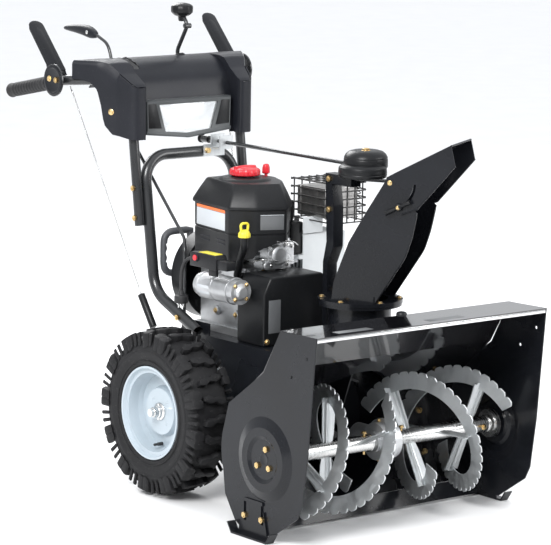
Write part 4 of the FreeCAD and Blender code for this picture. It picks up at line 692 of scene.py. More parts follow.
def make_chute_details():
    ring_bolts, clips = [], []
    for degrees in (20, 80, 140, 200, 260, 320):
        turn = math.radians(degrees)
        seat = CHUTE_AXIS + Vector((92 * math.cos(turn), 92 * math.sin(turn), 489.4))
        ring_bolts.append(bolt_mesh(seat, Z, 6, 4))
        clips.append(lathe_mesh([(-1.2, 11), (0.4, 11), (1.0, 10)], seat, Z, 20))
    new_piece("chute_ring_bolts", *joined(*ring_bolts), ZINC_GOLD, "chute", "zinc_gold", rounding=0.3)
    new_piece("chute_ring_pads", *joined(*clips), PLASTIC, "chute", "black_plastic", rounding=0.2)
    lip = rounded_path([on_chute(60, y, z) for y, z in ((-72, 491), (-72, 505))], 1)
    flange = []
    for side in (-1, 1):
        edge = [(61, 489), (134, 604), (149, 651), (160, 704)]
        line = rounded_path([on_chute(u, side * 68.6, z) for u, z in edge], 14)
        flange.append(tube_mesh(line, 2.4, 10))
    new_piece("chute_edge_roll", *joined(*flange, tube_mesh(lip, 2, 8)), BLACK, "chute", "black_paint",
              angle=60)
    rivets = []
    for side in (-1, 1):
        outward = CHUTE_TURN @ Vector((0, side, 0))
        rivets.append(bolt_mesh(on_chute(95, side * 75.2, 779), outward, 4.8, 4))
    new_piece("deflector_bolts", *joined(*rivets), ZINC_GOLD, "deflector", "zinc_gold", rounding=0.3)
    rolls = []
    for side in (-1, 1):
        edge = [(254, 828), (164, 722), (126, 707)]
        rolls.append(tube_mesh(rounded_path([on_chute(u, side * 73.8, z) for u, z in edge], 14), 2.2, 10))
    rolls.append(tube_mesh([on_chute(242.5, -73, 874.0), on_chute(242.5, 73, 874.0)], 2.2, 10))
    new_piece("deflector_edge_roll", *joined(*rolls), BLACK, "deflector", "black_paint", angle=60)


def make_wing_knobs():
    """Clamp knobs with two rounded wings and a brass insert."""
    parts, inserts = [], []
    for side in (-1, 1):
        out = CHUTE_TURN @ Vector((0, side, 0))
        seat = on_chute(118.8, side * 75.4, 722.8)
        parts.append(lathe_mesh([(0, 9), (5, 9.5), (8, 8.5), (9, 6)], seat, out, 28))
        wing = [seat + out * 8 + (CHUTE_TURN @ Vector((u, 0, v))) for u,
                v in ((-30, -15), (-14, -7), (0, 0), (14, 7), (30, 15))]
        parts.append(tube_mesh(wing, 6, 12, swell=lambda share: 0.55 + 0.5 * abs(2 * share - 1)))
        inserts.append(bolt_mesh(seat + out * 8, out, 4, 4))
    piece = new_piece("wing_knob_pair", *joined(*parts), PLASTIC, "wing_knobs", "black_plastic",
                      rounding=0.4)
    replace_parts(piece, "wing_knobs")
    new_piece("wing_knob_nuts", *joined(*inserts), ZINC_GOLD, "wing_knobs", "zinc_gold", rounding=0.2)


def make_gear_cover():
    """Two-step round cover over the steering gears with its parting line and nut."""
    centre = CHUTE_AXIS + Vector((0, 0, 778))
    dome = centre + Vector((16, 8, 22))
    lower = lathe_mesh([(0, 54), (1, 57), (8, 58.5), (9.5, 57.3), (11, 58.5), (24, 57), (29, 52),
                        (31, 44)], centre, Z, 72)
    upper = lathe_mesh([(0, 52), (3, 53), (20, 52.5), (22, 51.6), (24, 52.2), (32, 48), (38, 41), (41, 30),
                        (40.4, 12)], dome, Z, 72)
    ear = block_mesh((70, -262, 776.3), (100, -244, 782))
    snout = lathe_mesh([(0, 13), (16, 12.5), (18, 10)], Vector((80, -262, 806)), Y, 36)
    piece = new_piece("steering_gear_cover", *joined(lower, upper, snout, ear), PLASTIC, "frame",
                      "black_plastic", rounding=1.0)
    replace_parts(piece, "chute_gear_cover")
    nut = bolt_mesh(dome + Z * 39.5, Z, 9, 5)
    new_piece("steering_cover_nut", *nut, ZINC_GOLD, "frame", "zinc_gold", rounding=0.5)


# ------------------------------------------------------------------ engine

SHROUD_RIM = [(-94, 132), (-120, -50), (-69, -94), (4, -124), (62, -64), (98, 20), (88, 132)]
SHROUD_MIDDLE = Vector((-5, 20))
TOP_Z, SKIRT_Z = 742, 560


def shroud_ring(factor, z, rounding=7):
    """The cover's outline, shrunk about its middle, with its corners rounded."""
    corners = [SHROUD_MIDDLE + (Vector(p) - SHROUD_MIDDLE) * factor for p in SHROUD_RIM]
    ring = []
    for index, here in enumerate(corners):
        before, after = corners[index - 1], corners[(index + 1) % len(corners)]
        enter = here + (before - here).normalized() * rounding
        leave = here + (after - here).normalized() * rounding
        for share in (0, 0.33, 0.67, 1):
            point = enter.lerp(here, share).lerp(here.lerp(leave, share), share)
            ring.append(Vector((point.x, point.y, z)))
    return ring


def make_shroud():
    """Tank and engine cover: raised skirt over the governor, parting line, bevelled upper panels."""
    levels = [(0.95, SKIRT_Z), (0.955, 622), (0.94, 623.5), (0.94, 626), (0.955, 627.5), (0.96, 683),
              (0.995, 685), (1.0, 688), (0.992, 692), (0.88, 717), (0.765, 740), (0.745, TOP_Z)]
    rings = [shroud_ring(factor, z) for factor, z in levels]
    for point in rings[0]:
        point.z += 50 * min(1, max(0, (point.x + 75) / 30)) * min(1, max(0, (-20 - point.y) / 30))
    count = len(rings[0])
    vertices = [point for ring in rings for point in ring]
    faces = []
    for level in range(len(rings) - 1):
        here, there = level * count, level * count + count
        faces += [(here + i, here + (i + 1) % count, there + (i + 1) % count,
                   there + i) for i in range(count)]
    faces.append(tuple(range((len(rings) - 1) * count, len(rings) * count)))
    piece = new_piece("engine_cover", vertices, faces, PLASTIC, "frame", "black_plastic", angle=32,
                      thickness=3)
    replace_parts(piece, "engine_shroud")
    crown_profile = [(0, 68), (3, 67), (9, 60), (11, 52), (10.5, 40), (12, 38), (12, 30)]
    new_piece("tank_crown", *lathe_mesh(crown_profile, (-15, 25, TOP_Z - 3), Z, 64), PLASTIC, "frame",
              "black_plastic", rounding=0.6)


def wall_plate(start, end, low_z, high_z, margin, raise_by, thickness=1.2):
    """A thin plate lying on one flat side of the engine cover."""
    a = SHROUD_MIDDLE + (Vector(start) - SHROUD_MIDDLE) * 0.958
    b = SHROUD_MIDDLE + (Vector(end) - SHROUD_MIDDLE) * 0.958
    run = (b - a).normalized()
    out = Vector((run.y, -run.x))
    if out.dot(a - SHROUD_MIDDLE) < 0:
        out = -out
    length = (b - a).length
    outline = [(margin[0] * length, low_z), (margin[1] * length, low_z), (margin[1] * length, high_z),
               (margin[0] * length, high_z)]

    def spot(along, z, level):
        point = a + run * along + out * level
        return Vector((point.x, point.y, z))
    return prism_mesh(outline, raise_by, raise_by + thickness, spot)


def make_shroud_details():
    """Plain plates, vent slots and side ribs on the engine cover."""
    rim = SHROUD_RIM
    new_piece("cover_plain_plate", *wall_plate(rim[1], rim[0], 630, 672, (0.12, 0.92), 0.3), PLATE_WHITE,
              "frame", "black_plastic", rounding=0.4)
    new_piece("cover_plain_band", *wall_plate(rim[1], rim[0], 672.5, 680, (0.12, 0.92), 0.3), PLATE_ORANGE,
              "frame", "black_plastic", rounding=0.3)
    new_piece("cover_front_plate", *wall_plate(rim[2], rim[3], 636, 670, (0.12, 0.9), 0.3), PLATE_GREY,
              "frame", "black_plastic", rounding=0.4)
    new_piece("cover_front_line", *wall_plate(rim[2], rim[3], 671, 672.6, (0.12, 0.9), 0.3), PLATE_WHITE,
              "frame", "black_plastic", rounding=0.2)
    slots = [wall_plate(rim[1], rim[0], 604 - 9 * row, 608 - 9 * row, (0.12, 0.34), -0.4,
                        2.2) for row in (0, 1)]
    slots += [wall_plate(rim[1], rim[0], 604 - 9 * row, 608 - 9 * row, (0.55, 0.8), -0.4,
                         2.2) for row in (0, 1)]
    for start, end in ((rim[4], rim[5]), (rim[6], rim[0])):
        slots += [wall_plate(start, end, 572 + 16 * i, 580 + 16 * i, (0.1, 0.9), -0.4,
                             2.6) for i in range(6)]
    new_piece("cover_ribs", *joined(*slots), SOFT_PLASTIC, "frame", "black_plastic", rounding=0.8)


def make_caps():
    """Fuel cap, choke knob and dipstick."""
    low, high = low_high("fuel_cap")
    centre = Vector(((low.x + high.x) / 2, (low.y + high.y) / 2, low.z))
    rim = lathe_mesh([(0, 36), (2, 38), (11, 38), (15, 36), (18, 30), (19, 14), (19, 8)], centre, Z, 96,
                     lobes=24, depth=0.04)
    bar = tube_mesh([centre + Vector((x, 0, 17)) for x in (-31, -16, 0, 16, 31)], 7.5, 16,
                    swell=lambda share: 0.72 + 0.28 * math.sin(math.pi * share))
    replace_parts(new_piece("fuel_cap_red", *joined(rim, bar), RED, "fuel_cap", "red_plastic",
                          rounding=0.4), "fuel_cap")
    low, high = low_high("choke_knob")
    centre = Vector(((low.x + high.x) / 2, (low.y + high.y) / 2, low.z))
    knob = joined(lathe_mesh([(0, 4), (30, 4)], centre, Z, 20),
                  lathe_mesh([(30, 8), (32, 10), (44, 9.4), (52, 7), (54, 4)], centre, Z, 36, lobes=6,
                             depth=0.12))
    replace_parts(new_piece("choke_knob_red", *knob, RED, "choke_knob", "red_plastic", rounding=0.4),
                "choke_knob")
    low, high = low_high("dipstick")
    centre = Vector(((low.x + high.x) / 2, (low.y + high.y) / 2, 628.4))
    cap = lathe_mesh([(0, 14), (1, 15), (9, 15), (12, 13.5), (17, 10), (19, 7)], centre, Z, 48, lobes=16,
                     depth=0.05)
    loop = rounded_path([centre + Vector((x, 0, z)) for x,
                         z in ((-9, 14), (-12, 34), (12, 34), (9, 14))], 9)
    stick = tube_mesh([centre - Z * 16, centre + Z * 2], 1.4, 10)
    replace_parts(new_piece("dipstick_yellow", *joined(cap, tube_mesh(loop, 3.2, 12), stick), YELLOW,
                          "dipstick", "yellow_plastic", rounding=0.4), "dipstick")


def make_engine_fittings():
    """Bosses, bolts and ribs on the crankcase below the cover."""
    bosses, bolts_here = [], []
    for x, y, z, radius in ((-52, -50, 470, 15), (-20, -52, 528, 13), (34, -52, 520, 16),
                            (58, -50, 470, 14), (-44, -50, 420, 13), (20, -52, 410, 15)):
        bosses.append(lathe_mesh([(0, radius + 3), (8, radius), (12, radius), (13.5, radius - 3)],
                                 (x, y + 4, z), -Y, 32))
        bolts_here.append(bolt_mesh((x, y - 9, z), -Y, 6, 5))
    for y, z in ((-30, 524), (60, 520), (100, 470), (60, 420), (-20, 420)):
        bosses.append(lathe_mesh([(0, 13), (6, 11), (9, 11), (10, 9)], (-64, y, z), -X, 28))
        bolts_here.append(bolt_mesh((-73, y, z), -X, 5.5, 4))
    ribs = [block_mesh((x, -54, 396), (x + 5, -44, 532)) for x in (-60, -36, 4, 48)]
    new_piece("crankcase_bosses", *joined(*bosses, *ribs), CAST, "frame", "cast_aluminium", rounding=1.2)
    new_piece("crankcase_bolts", *joined(*bolts_here), ZINC_GOLD, "frame", "zinc_gold", rounding=0.3)


def make_governor():
    """Castings, screws and link rods of the governor and carburettor, below the cover's front."""
    castings = [block_mesh((-44, -96, 538), (34, -50, 560)), block_mesh((-30, -92, 560), (26, -56, 600)),
                block_mesh((34, -70, 540), (66, -40, 596)),
                lathe_mesh([(0, 21), (4, 24), (16, 24), (20, 18), (21, 8)], (-8, -92, 572), -Y, 40),
                lathe_mesh([(0, 13), (10, 13), (12, 10)], (36, -70, 556), -Y, 32),
                lathe_mesh([(0, 11), (8, 11), (10, 8)], (-38, -90, 548), -Y, 28),
                lathe_mesh([(0, 12), (9, 11), (11, 8)], (46, -60, 596), Z, 28)]
    new_piece("governor_casting", *joined(*castings), CAST, "frame", "cast_aluminium", rounding=2.2,
              segments=3)
    screws = [bolt_mesh(spot, -Y, 4.5, 4) for spot in ((-27, -96, 548), (22, -96, 548), (-26, -92, 592),
                                                       (20, -92, 594),
                                                      (58, -70, 586), (44, -70, 590))]
    new_piece("governor_screws", *joined(*screws), BRIGHT, "frame", "bright_steel", rounding=0.4)
    links = [tube_mesh(rounded_path([(-60, -66, 556), (-60, -104, 566), (-30, -112, 562),
                                     (30, -108, 556)], 10), 1.6, 10),
             tube_mesh(rounded_path([(24, -80, 604), (46, -94, 600), (70, -78, 588)], 10), 1.6, 10),
             lathe_mesh([(0, 3.2), (34, 3.2)], (-20, -108, 606), X, 12)]
    new_piece("governor_links", *joined(*links), BRIGHT, "frame", "bright_steel", angle=60)
    housing = [block_mesh((66, -58, 560), (104, -6, 640)), block_mesh((70, -30, 640), (98, 0, 690))]
    new_piece("intake_elbow", *joined(*housing), PLASTIC, "frame", "black_plastic", rounding=5, segments=3)


def make_starter_details():
    x, z = -150, 500
    rings = [lathe_mesh([(y, 31), (y + 1, 33), (y + 6, 33), (y + 7, 31)], (x, 0, z), Y,
                        56) for y in (-119, -60, -8)]
    nose = lathe_mesh([(-148, 13), (-142, 17), (-138, 26), (-120, 31)], (x, 0, z), Y, 48)
    through = [bolt_mesh((x + 24 * math.cos(t), -139, z + 24 * math.sin(t)), -Y, 4.2,
                         4) for t in (0.8, 2.4, 3.9, 5.5)]
    new_piece("starter_end_rings", *joined(*rings, nose), CAST, "frame", "cast_aluminium", rounding=0.6)
    new_piece("starter_bolts", *joined(*through), ZINC_GOLD, "frame", "zinc_gold", rounding=0.3)
    badge = prism_mesh([(-0.9, -0.26), (-0.9, 0.26)] + [(-0.3, 0.26), (-0.3, -0.26)], 33.0, 33.5,
                       lambda a, b, c: (x + c * math.sin(a * 1.1 - 1.05), -30 + b * 90,
                                        z + c * math.cos(a * 1.1 - 1.05)))
    new_piece("starter_plain_plate", *badge, PLATE_WHITE, "frame", "cast_aluminium", rounding=0.1)
    low, high = low_high("starter_switch_box")
    shell = [(low.y + 38, low.z + 22), (high.y, low.z + 22), (high.y, high.z - 4), (high.y - 6, high.z),
             (low.y + 44, high.z), (low.y + 38, high.z - 8)]
    box_body = prism_mesh(shell, low.x + 1, high.x - 1, lambda a, b, c: (c, a, b))
    nose_box = block_mesh((low.x + 4, low.y, low.z + 25), (high.x - 4, low.y + 40, low.z + 47))
    collar = lathe_mesh([(0, 10), (3, 9), (3.5, 7.4)], (low.x + 1, -35, 575), -X, 32)
    relief_cone = lathe_mesh([(0, 8), (6, 7.4), (9, 5.2)], (-186, high.y - 1, 568), Y, 28)
    bracket = block_mesh((high.x - 10, -80, low.z), (high.x - 2, -50, low.z + 23))
    piece = new_piece("starter_switch_case", *joined(box_body, nose_box, bracket, relief_cone), PLASTIC,
                      "frame", "black_plastic", rounding=2.2, segments=3)
    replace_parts(piece, "starter_switch_box")
    new_piece("starter_button_collar", *collar, SOFT_PLASTIC, "frame", "black_plastic", rounding=0.3)
    cover = prism_mesh([(-104, high.z - 1), (-34, high.z - 1), (-40, high.z + 1.5), (-98, high.z + 1.5)],
                       low.x + 6, high.x - 6, lambda a, b, c: (c, a, b))
    new_piece("starter_case_lid", *cover, YELLOW, "frame", "black_plastic", rounding=0.5)


CORD_ROUTE = [(-186, -8.6, 568), (-186.5, 13, 567.5), (-188, 32, 556), (-190, 42.5, 536),
              (-190.5, 44.2, 508.5), (-190, 44.5, 482)]
CORD_DIAMETER = 9


def make_starter_cord():
    """Short mains lead: one smooth curve from the switch case down to its plug."""
    curve = bpy.data.curves.new("starter_lead", "CURVE")
    curve.dimensions = "3D"
    spline = curve.splines.new("NURBS")
    spline.points.add(len(CORD_ROUTE) - 1)
    for point, spot in zip(spline.points, CORD_ROUTE):
        point.co = (*(Vector(spot) * MM), 1)
    spline.order_u = 3
    spline.use_endpoint_u = True
    curve.resolution_u = 16
    curve.bevel_depth = CORD_DIAMETER / 2 * MM
    curve.bevel_resolution = 5
    curve.use_fill_caps = True
    curve.materials.append(CORD)
    lead = bpy.data.objects.new("starter_lead", curve)
    scene.collection.objects.link(lead)
    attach(lead, "frame")
    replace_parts(lead, "starter_cord")
    end = Vector(CORD_ROUTE[-1])
    body = lathe_mesh([(1, 6), (-4, 6.4), (-5, 8), (-9, 8.2), (-10, 10.5), (-12, 16.5), (-15, 17),
                       (-28, 17), (-30, 15)], end, Z, 40)
    plug = new_piece("starter_plug_body", *body, CORD, "frame", "cord_rubber", rounding=0.5)
    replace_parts(plug, "starter_plug")
    prongs = [lathe_mesh([(-42, 1.2), (-41, 2.2), (-29, 2.2)], end + Vector(s), Z,
                         16) for s in ((-7, 0, 0), (7, 0, 0), (0, 8, 0))]
    pins = new_piece("starter_plug_prongs", *joined(*prongs), BRIGHT, "frame", "bright_steel", rounding=0.2)


def make_recoil():
    """D-shaped starter handle with finger hollows, its rope, and the fan cover's slots."""
    x, y = -24, 233
    path = rounded_path([(x, y, 489), (-105, y, 489), (-105, y, 594), (x, y, 594)], 30, 10)
    line = path + [path[0]]
    loop_points = []
    for a, b in zip(line, line[1:]):
        loop_points += [a.lerp(b, step / 4) for step in range(4)]
    grip = tube_mesh(loop_points, 9, 16, closed=True)
    vertices = []
    for corner in grip[0]:
        v = Vector(corner)
        in_grip = -105 < v.x < -90 and 506 < v.z < 577
        hollow = 5 * max(0, math.cos((v.z - 541.5) * 2 * math.pi / 20)) if in_grip else 0
        vertices.append(v - X * hollow)
    nose = lathe_mesh([(-12, 7), (-4, 10), (4, 10.5), (9, 8)], (x, y, 545), Y, 32)
    rope = tube_mesh([(x, -5, 545), (x, 110, 545), (x, y, 545)], 2.1, 12)
    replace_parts(new_piece("starter_pull_handle", *joined((vertices, grip[1]), nose), GREY_GRIP,
                          "recoil_handle", "grip_rubber", rounding=0.0, angle=50), "recoil_handle")
    new_piece("starter_rope", *rope, CORD, "recoil_handle", "grip_rubber", angle=60)
    centre = middle("recoil_housing")
    slats = []
    for index in range(20):
        turn = 2 * math.pi * index / 20
        if abs(math.degrees(turn) - 120) < 22:
            continue
        direction = Vector((math.cos(turn), 0, math.sin(turn)))
        root = Vector((0, 206, centre.z)) + direction * 76
        tip = Vector((0, 193, centre.z)) + direction * 106
        slats.append(tube_mesh([root, tip], 2.6, 8))
    hub = lathe_mesh([(-1, 34), (1.5, 32), (3, 26), (3.2, 12)], (0, 211, centre.z), Y, 48)
    new_piece("fan_cover_ribs", *joined(*slats, hub), SOFT_PLASTIC, "frame", "black_plastic",
              rounding=0.0, angle=50)


def make_belt_cover():
    """Belt cover with rounded shoulders and a plain panel on its front."""
    low, high = low_high("belt_cover")
    x0, x1, z0, z1 = low.x, high.x, low.z, high.z
    outline = [(x0, z0), (x0, z1 - 40), (x0 + 20, z1), (x1 - 34, z1), (x1, z1 - 34), (x1, z0)]
    body = prism_mesh(outline, low.y + 0.5, high.y - 0.5, lambda a, b, c: (a, c, b))
    piece = new_piece("belt_cover_shell", *body, PLASTIC, "frame", "black_plastic", rounding=5, segments=4)
    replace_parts(piece, "belt_cover")
    panel = prism_mesh([(x0 + 14, z0 + 32), (x0 + 50, z0 + 32), (x0 + 50, z1 - 54), (x0 + 14, z1 - 54)],
                       low.y - 0.2, low.y + 1.5, lambda a, b, c: (a, c, b))
    new_piece("belt_cover_panel", *panel, PLATE_GREY, "frame", "black_plastic", rounding=0.4)
    spots = ((x0 + 10, z0 + 12), (x1 - 10, z0 + 12))
    new_piece("belt_cover_bolts", *joined(*[bolt_mesh((a, low.y + 0.4, b), -Y, 6, 4) for a, b in spots]),
              ZINC_GOLD, "frame", "zinc_gold", rounding=0.3)


def make_muffler_details():
    seams = [tube_mesh(rounded_path([(124, y, 652), (124, y, 724), (212, y, 724), (212, y, 652),
                                     (124, y, 652)], 6), 2.4, 8)
             for y in (-116, -20)]
    stamped = [block_mesh((124 + 8, -129, 662 + 12 * i), (204, -127, 666 + 12 * i)) for i in range(5)]
    new_piece("muffler_seams", *joined(*seams, *stamped), MUFFLER, "frame", "bright_steel", rounding=0.5,
              segments=1)
    coils = []
    high = low_high("muffler_guard")[1]
    for y in (-120, -76):
        points = []
        for step in range(90):
            turn = step * 0.45
            points.append((high.x - 9 + 5 * math.cos(turn), y + 14 * math.sin(turn), 650 + step * 0.9))
        coils.append(tube_mesh(points, 1.3, 6))
    new_piece("guard_coil", *joined(*coils), WIRE, "frame", "wire_black", angle=60)
    plate = block_mesh((97, -66, 611), (158, -63, 652))
    new_piece("air_guide_plate", *plate, SHIELD, "frame", "shield_steel", rounding=1.2)


# ------------------------------------------------------------------ handlebar and controls

CONSOLE_HALF = 148
WING_PATH = [(147, 300), (144.5, 262), (151, 254), (176, 254), (187, 265), (197, 301), (230, 351),
             (264, 404)]
LOWER_EDGE = [(250, 823), (314, 834), (333, 859), (338, 899), (348, 943), (363, 960), (385, 967),
              (410, 967)]
COWL_EDGE = [(250, 826), (283, 826), (296, 924), (311, 967), (345, 1000), (385, 1012), (410, 1012)]
UPPER_EDGE = [(250, 948), (262, 960), (300, 984), (326, 1008), (348, 1012.5), (410, 1012.5)]


def along_edge(edge, y):
    """Height of an edge line at a place along the machine."""
    for (y0, z0), (y1, z1) in zip(edge, edge[1:]):
        if y <= y1:
            return z0 + (z1 - z0) * max(0, (y - y0) / (y1 - y0))
    return edge[-1][1]


def console_profile():
    nose = rounded_path([(0, 296, 924), (0, 311, 967), (0, 345, 1000), (0, 385, 1012), (0, 408, 1012),
                         (0, 499, 931)], 16, 5)
    return [(283, 824), (294.9, 916.5)] + [(p.y, p.z) for p in nose]


def make_console():
    """Moulded cowl with a headlight window, the lever's gate and two flared wings."""
    profile = console_profile()
    stations = [-148, -134, -127, -109, -30, 46, 76, 134, 148]
    vertices = [(x, y, z) for x in stations for y, z in profile]
    count = len(profile)
    faces = []
    for column in range(len(stations) - 1):
        x = (stations[column] + stations[column + 1]) / 2
        for row in range(count - 1):
            y = (profile[row][0] + profile[row + 1][0]) / 2
            z = (profile[row][1] + profile[row + 1][1]) / 2
            window = abs(x) < 134 and z < 916 and y < 320
            gate = -127 < x < -109 and 335 < y < 460
            collar = 46 < x < 76 and 390 < y < 425
            if window or gate or collar:
                continue
            here, there = column * count + row, (column + 1) * count + row
            faces.append((here, here + 1, there + 1, there))
    piece = new_piece("console_cowl", vertices, faces, SOFT_PLASTIC, "frame", "black_plastic",
                      thickness=2.6, angle=30)
    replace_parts(piece, "console")
    for label, side in (("right", -1), ("left", 1)):
        path = [(p.x, p.y) for p in rounded_path([(x, y, 0) for x, y in WING_PATH], 9, 5)]
        dense = []
        for (xa, ya), (xb, yb) in zip(path, path[1:]):
            pieces = max(1, int(math.hypot(xb - xa, yb - ya) / 5))
            dense += [(xa + (xb - xa) * i / pieces, ya + (yb - ya) * i / pieces) for i in range(pieces)]
        dense.append(path[-1])
        rows = 14
        vertices, faces = [], []
        for x, y in dense:
            low, high = along_edge(LOWER_EDGE, y), along_edge(UPPER_EDGE, y)
            for row in range(rows + 1):
                share = row / rows
                roll = 7 * max(0, share - 0.8) ** 2 / 0.04 if y > 300 else 0
                vertices.append(((x - roll * 0.8) * side, y, low + (high - low) * share))
        for column in range(len(dense) - 1):
            here, there = column * (rows + 1), (column + 1) * (rows + 1)
            faces += [(here + r, here + r + 1, there + r + 1, there + r) for r in range(rows)]
        new_piece("console_wing_" + label, vertices, faces, SOFT_PLASTIC, "frame", "black_plastic",
                  thickness=2.6, angle=40)
        deck, faces = [], []
        rows = [(y, x) for x, y in dense if x > 175.5]
        for y, x in rows:
            z = along_edge(UPPER_EDGE, y) - 1.2
            for share in (0, 0.35, 0.7, 1):
                inner = CONSOLE_HALF - 2
                deck.append(((inner + (x - 5 - inner) * share) * side, y,
                             z + 1.2 * math.sin(math.pi * share)))
        for row in range(len(rows) - 1):
            faces += [(row * 4 + i, row * 4 + i + 1, row * 4 + i + 5, row * 4 + i + 4) for i in range(3)]
        new_piece("console_deck_" + label, deck, faces, SOFT_PLASTIC, "frame", "black_plastic",
                  thickness=2.4, angle=40)
        wall, faces = [], []
        for y in range(256, 410, 6):
            wall += [(147 * side, y, along_edge(COWL_EDGE, y) - 3),
                     (147 * side, y, along_edge(UPPER_EDGE, y) - 1)]
        for row in range(len(wall) // 2 - 1):
            faces.append((row * 2, row * 2 + 1, row * 2 + 3, row * 2 + 2))
        new_piece("console_cheek_" + label, wall, faces, SOFT_PLASTIC, "frame", "black_plastic",
                  thickness=2.4, angle=40)
        seat = Vector((208 * side, 316, 890))
        outward = Vector((0.83 * side, -0.56, 0))
        new_piece("console_bolt_" + label, *bolt_mesh(seat, outward, 6, 4), ZINC_GOLD, "frame",
                  "zinc_gold", rounding=0.3)
    slot = [(340, 996), (385, 1012.5), (408, 1012), (457, 969)]
    gate = [tube_mesh(rounded_path([(x, y, z) for y, z in slot], 12), 2, 10) for x in (-127, -109)]
    notches = [(352, 1004), (372, 1009), (392, 1013), (418, 1004)]
    gate += [tube_mesh([(-113, y, z), (-109, y, z)], 2.4, 10) for y, z in notches]
    new_piece("speed_gate", *joined(*gate), PLASTIC, "frame", "black_plastic", angle=50)
    collar = lathe_mesh([(-3, 17), (0, 17), (3, 14), (3.5, 8), (0, 7.4)], (61, 405, 1010),
                        (-0.086, 0.358, 0.93), 36)
    new_piece("crank_collar", *collar, PLASTIC, "frame", "black_plastic", rounding=0.4)
    crease = tube_mesh([(-134, 297.6, 926), (134, 297.6, 926)], 2.2, 10)
    new_piece("console_crease", *crease, SOFT_PLASTIC, "frame", "black_plastic", angle=60)


def make_headlight():
    """Dark frame with a pointed chin, reflector bowl and ribbed clear lens."""
    outer = [(-131, 838), (-133, 916), (133, 916), (131, 838), (0, 818.5)]
    inner = [(-71, 836.5), (-91, 905), (91, 905), (71, 836.5), (0, 829.5)]

    def ring(a_line, b_line, y_a, y_b):
        vertices = [(x, y_a, z) for x, z in a_line] + [(x, y_b, z) for x, z in b_line]
        count = len(a_line)
        faces = [(i, (i + 1) % count, count + (i + 1) % count, count + i) for i in range(count)]
        return vertices, faces
    front = joined(ring(outer, [(x * 0.97, 840 + (z - 840) * 0.94 + 2) for x, z in outer], 281, 274),
                   ring([(x * 0.97, 840 + (z - 840) * 0.94 + 2) for x, z in outer], inner, 274, 276.5),
                   ring(inner, inner, 276.5, 290), ring(outer, outer, 281, 294))
    bezel = new_piece("headlight_frame", *front, BEZEL, "frame", "bezel_plastic", thickness=1.6, angle=30)
    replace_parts(bezel, "headlight_bezel")
    chin = [(-131, 841), (-90, 836), (0, 823), (90, 836), (131, 841), (131, 832), (0, 818.6), (-131, 832)]
    new_piece("headlight_chin", *prism_mesh(chin, 272.2, 281, lambda a, b, c: (a, c, b)), BEZEL, "frame",
              "bezel_plastic", rounding=1.6)
    panes = [prism_mesh([(s * 125, 848), (s * 127, 908), (s * 102, 908), (s * 84, 846)], 273.4, 275.6,
                        lambda a, b, c: (a, c, b)) for s in (-1, 1)]
    new_piece("headlight_side_panes", *joined(*panes), PLASTIC, "frame", "bezel_plastic", rounding=0.8)
    steps, levels = 36, 12
    vertices, faces = [], []
    for i in range(steps + 1):
        for j in range(levels + 1):
            across, up = 2 * i / steps - 1, j / levels
            half = 69 + 20 * up
            foot = 829.8 + 7 * abs(across)
            x = across * half
            bulge = 3.2 * (1 - across ** 2) * (1 - (2 * up - 1) ** 2)
            flute = 0.55 * math.cos(i * math.pi)
            vertices.append((x, 279 - bulge + flute * 0.6, foot + (904.2 - foot) * up))
    for i in range(steps):
        for j in range(levels):
            here = i * (levels + 1) + j
            faces.append((here, here + 1, here + levels + 2, here + levels + 1))
    lens = new_piece("headlight_cover_glass", vertices, faces, GLASS, "frame", "lens_clear",
                     thickness=1.6, angle=60)
    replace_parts(lens, "headlight_lens")
    bowl_vertices, bowl_faces = [], []
    for i in range(steps + 1):
        for j in range(levels + 1):
            across, up = 2 * i / steps - 1, j / levels
            half = 69 + 20 * up
            foot = 830 + 7 * abs(across)
            depth = 11 * (1 - across ** 4) * (1 - (2 * up - 1) ** 4)
            bowl_vertices.append((across * half, 283 + depth, foot + (904 - foot) * up))
    for i in range(steps):
        for j in range(levels):
            here = i * (levels + 1) + j
            bowl_faces.append((here, here + levels + 1, here + levels + 2, here + 1))
    # The reflector's faint glow is painted light, standing in for its reflections.
    new_piece("headlight_reflector", bowl_vertices, bowl_faces, REFLECTOR_PAINTED_GLOW, "frame", "lens_clear",
              thickness=0.8, angle=60)


GRIP_FRONT = Vector((0, 494, 949.5))
GRIP_REAR = Vector((0, 666, 915.2))


def make_grips():
    """Ribbed rubber grips with a flared front and a closed end."""
    for label, side in (("right", -1), ("left", 1)):
        start = GRIP_FRONT + X * 270 * side
        run = GRIP_REAR - GRIP_FRONT
        length = run.length
        profile = [(0, 12.6), (0, 19), (4, 19.6), (8, 17.6)]
        for index in range(11):
            at = 16 + index * 12.5
            profile += [(at, 16.6), (at + 2, 17.7), (at + 8, 17.7), (at + 10, 16.6)]
        profile += [(length - 12, 17.6), (length - 4, 18.4), (length - 1, 17), (length, 12)]
        piece = new_piece("grip_" + label, *lathe_mesh(profile, start, run, 40), GRIP, "frame",
                          "grip_rubber", rounding=0.0, angle=50)
        if side < 0:
            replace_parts(piece, "grips")


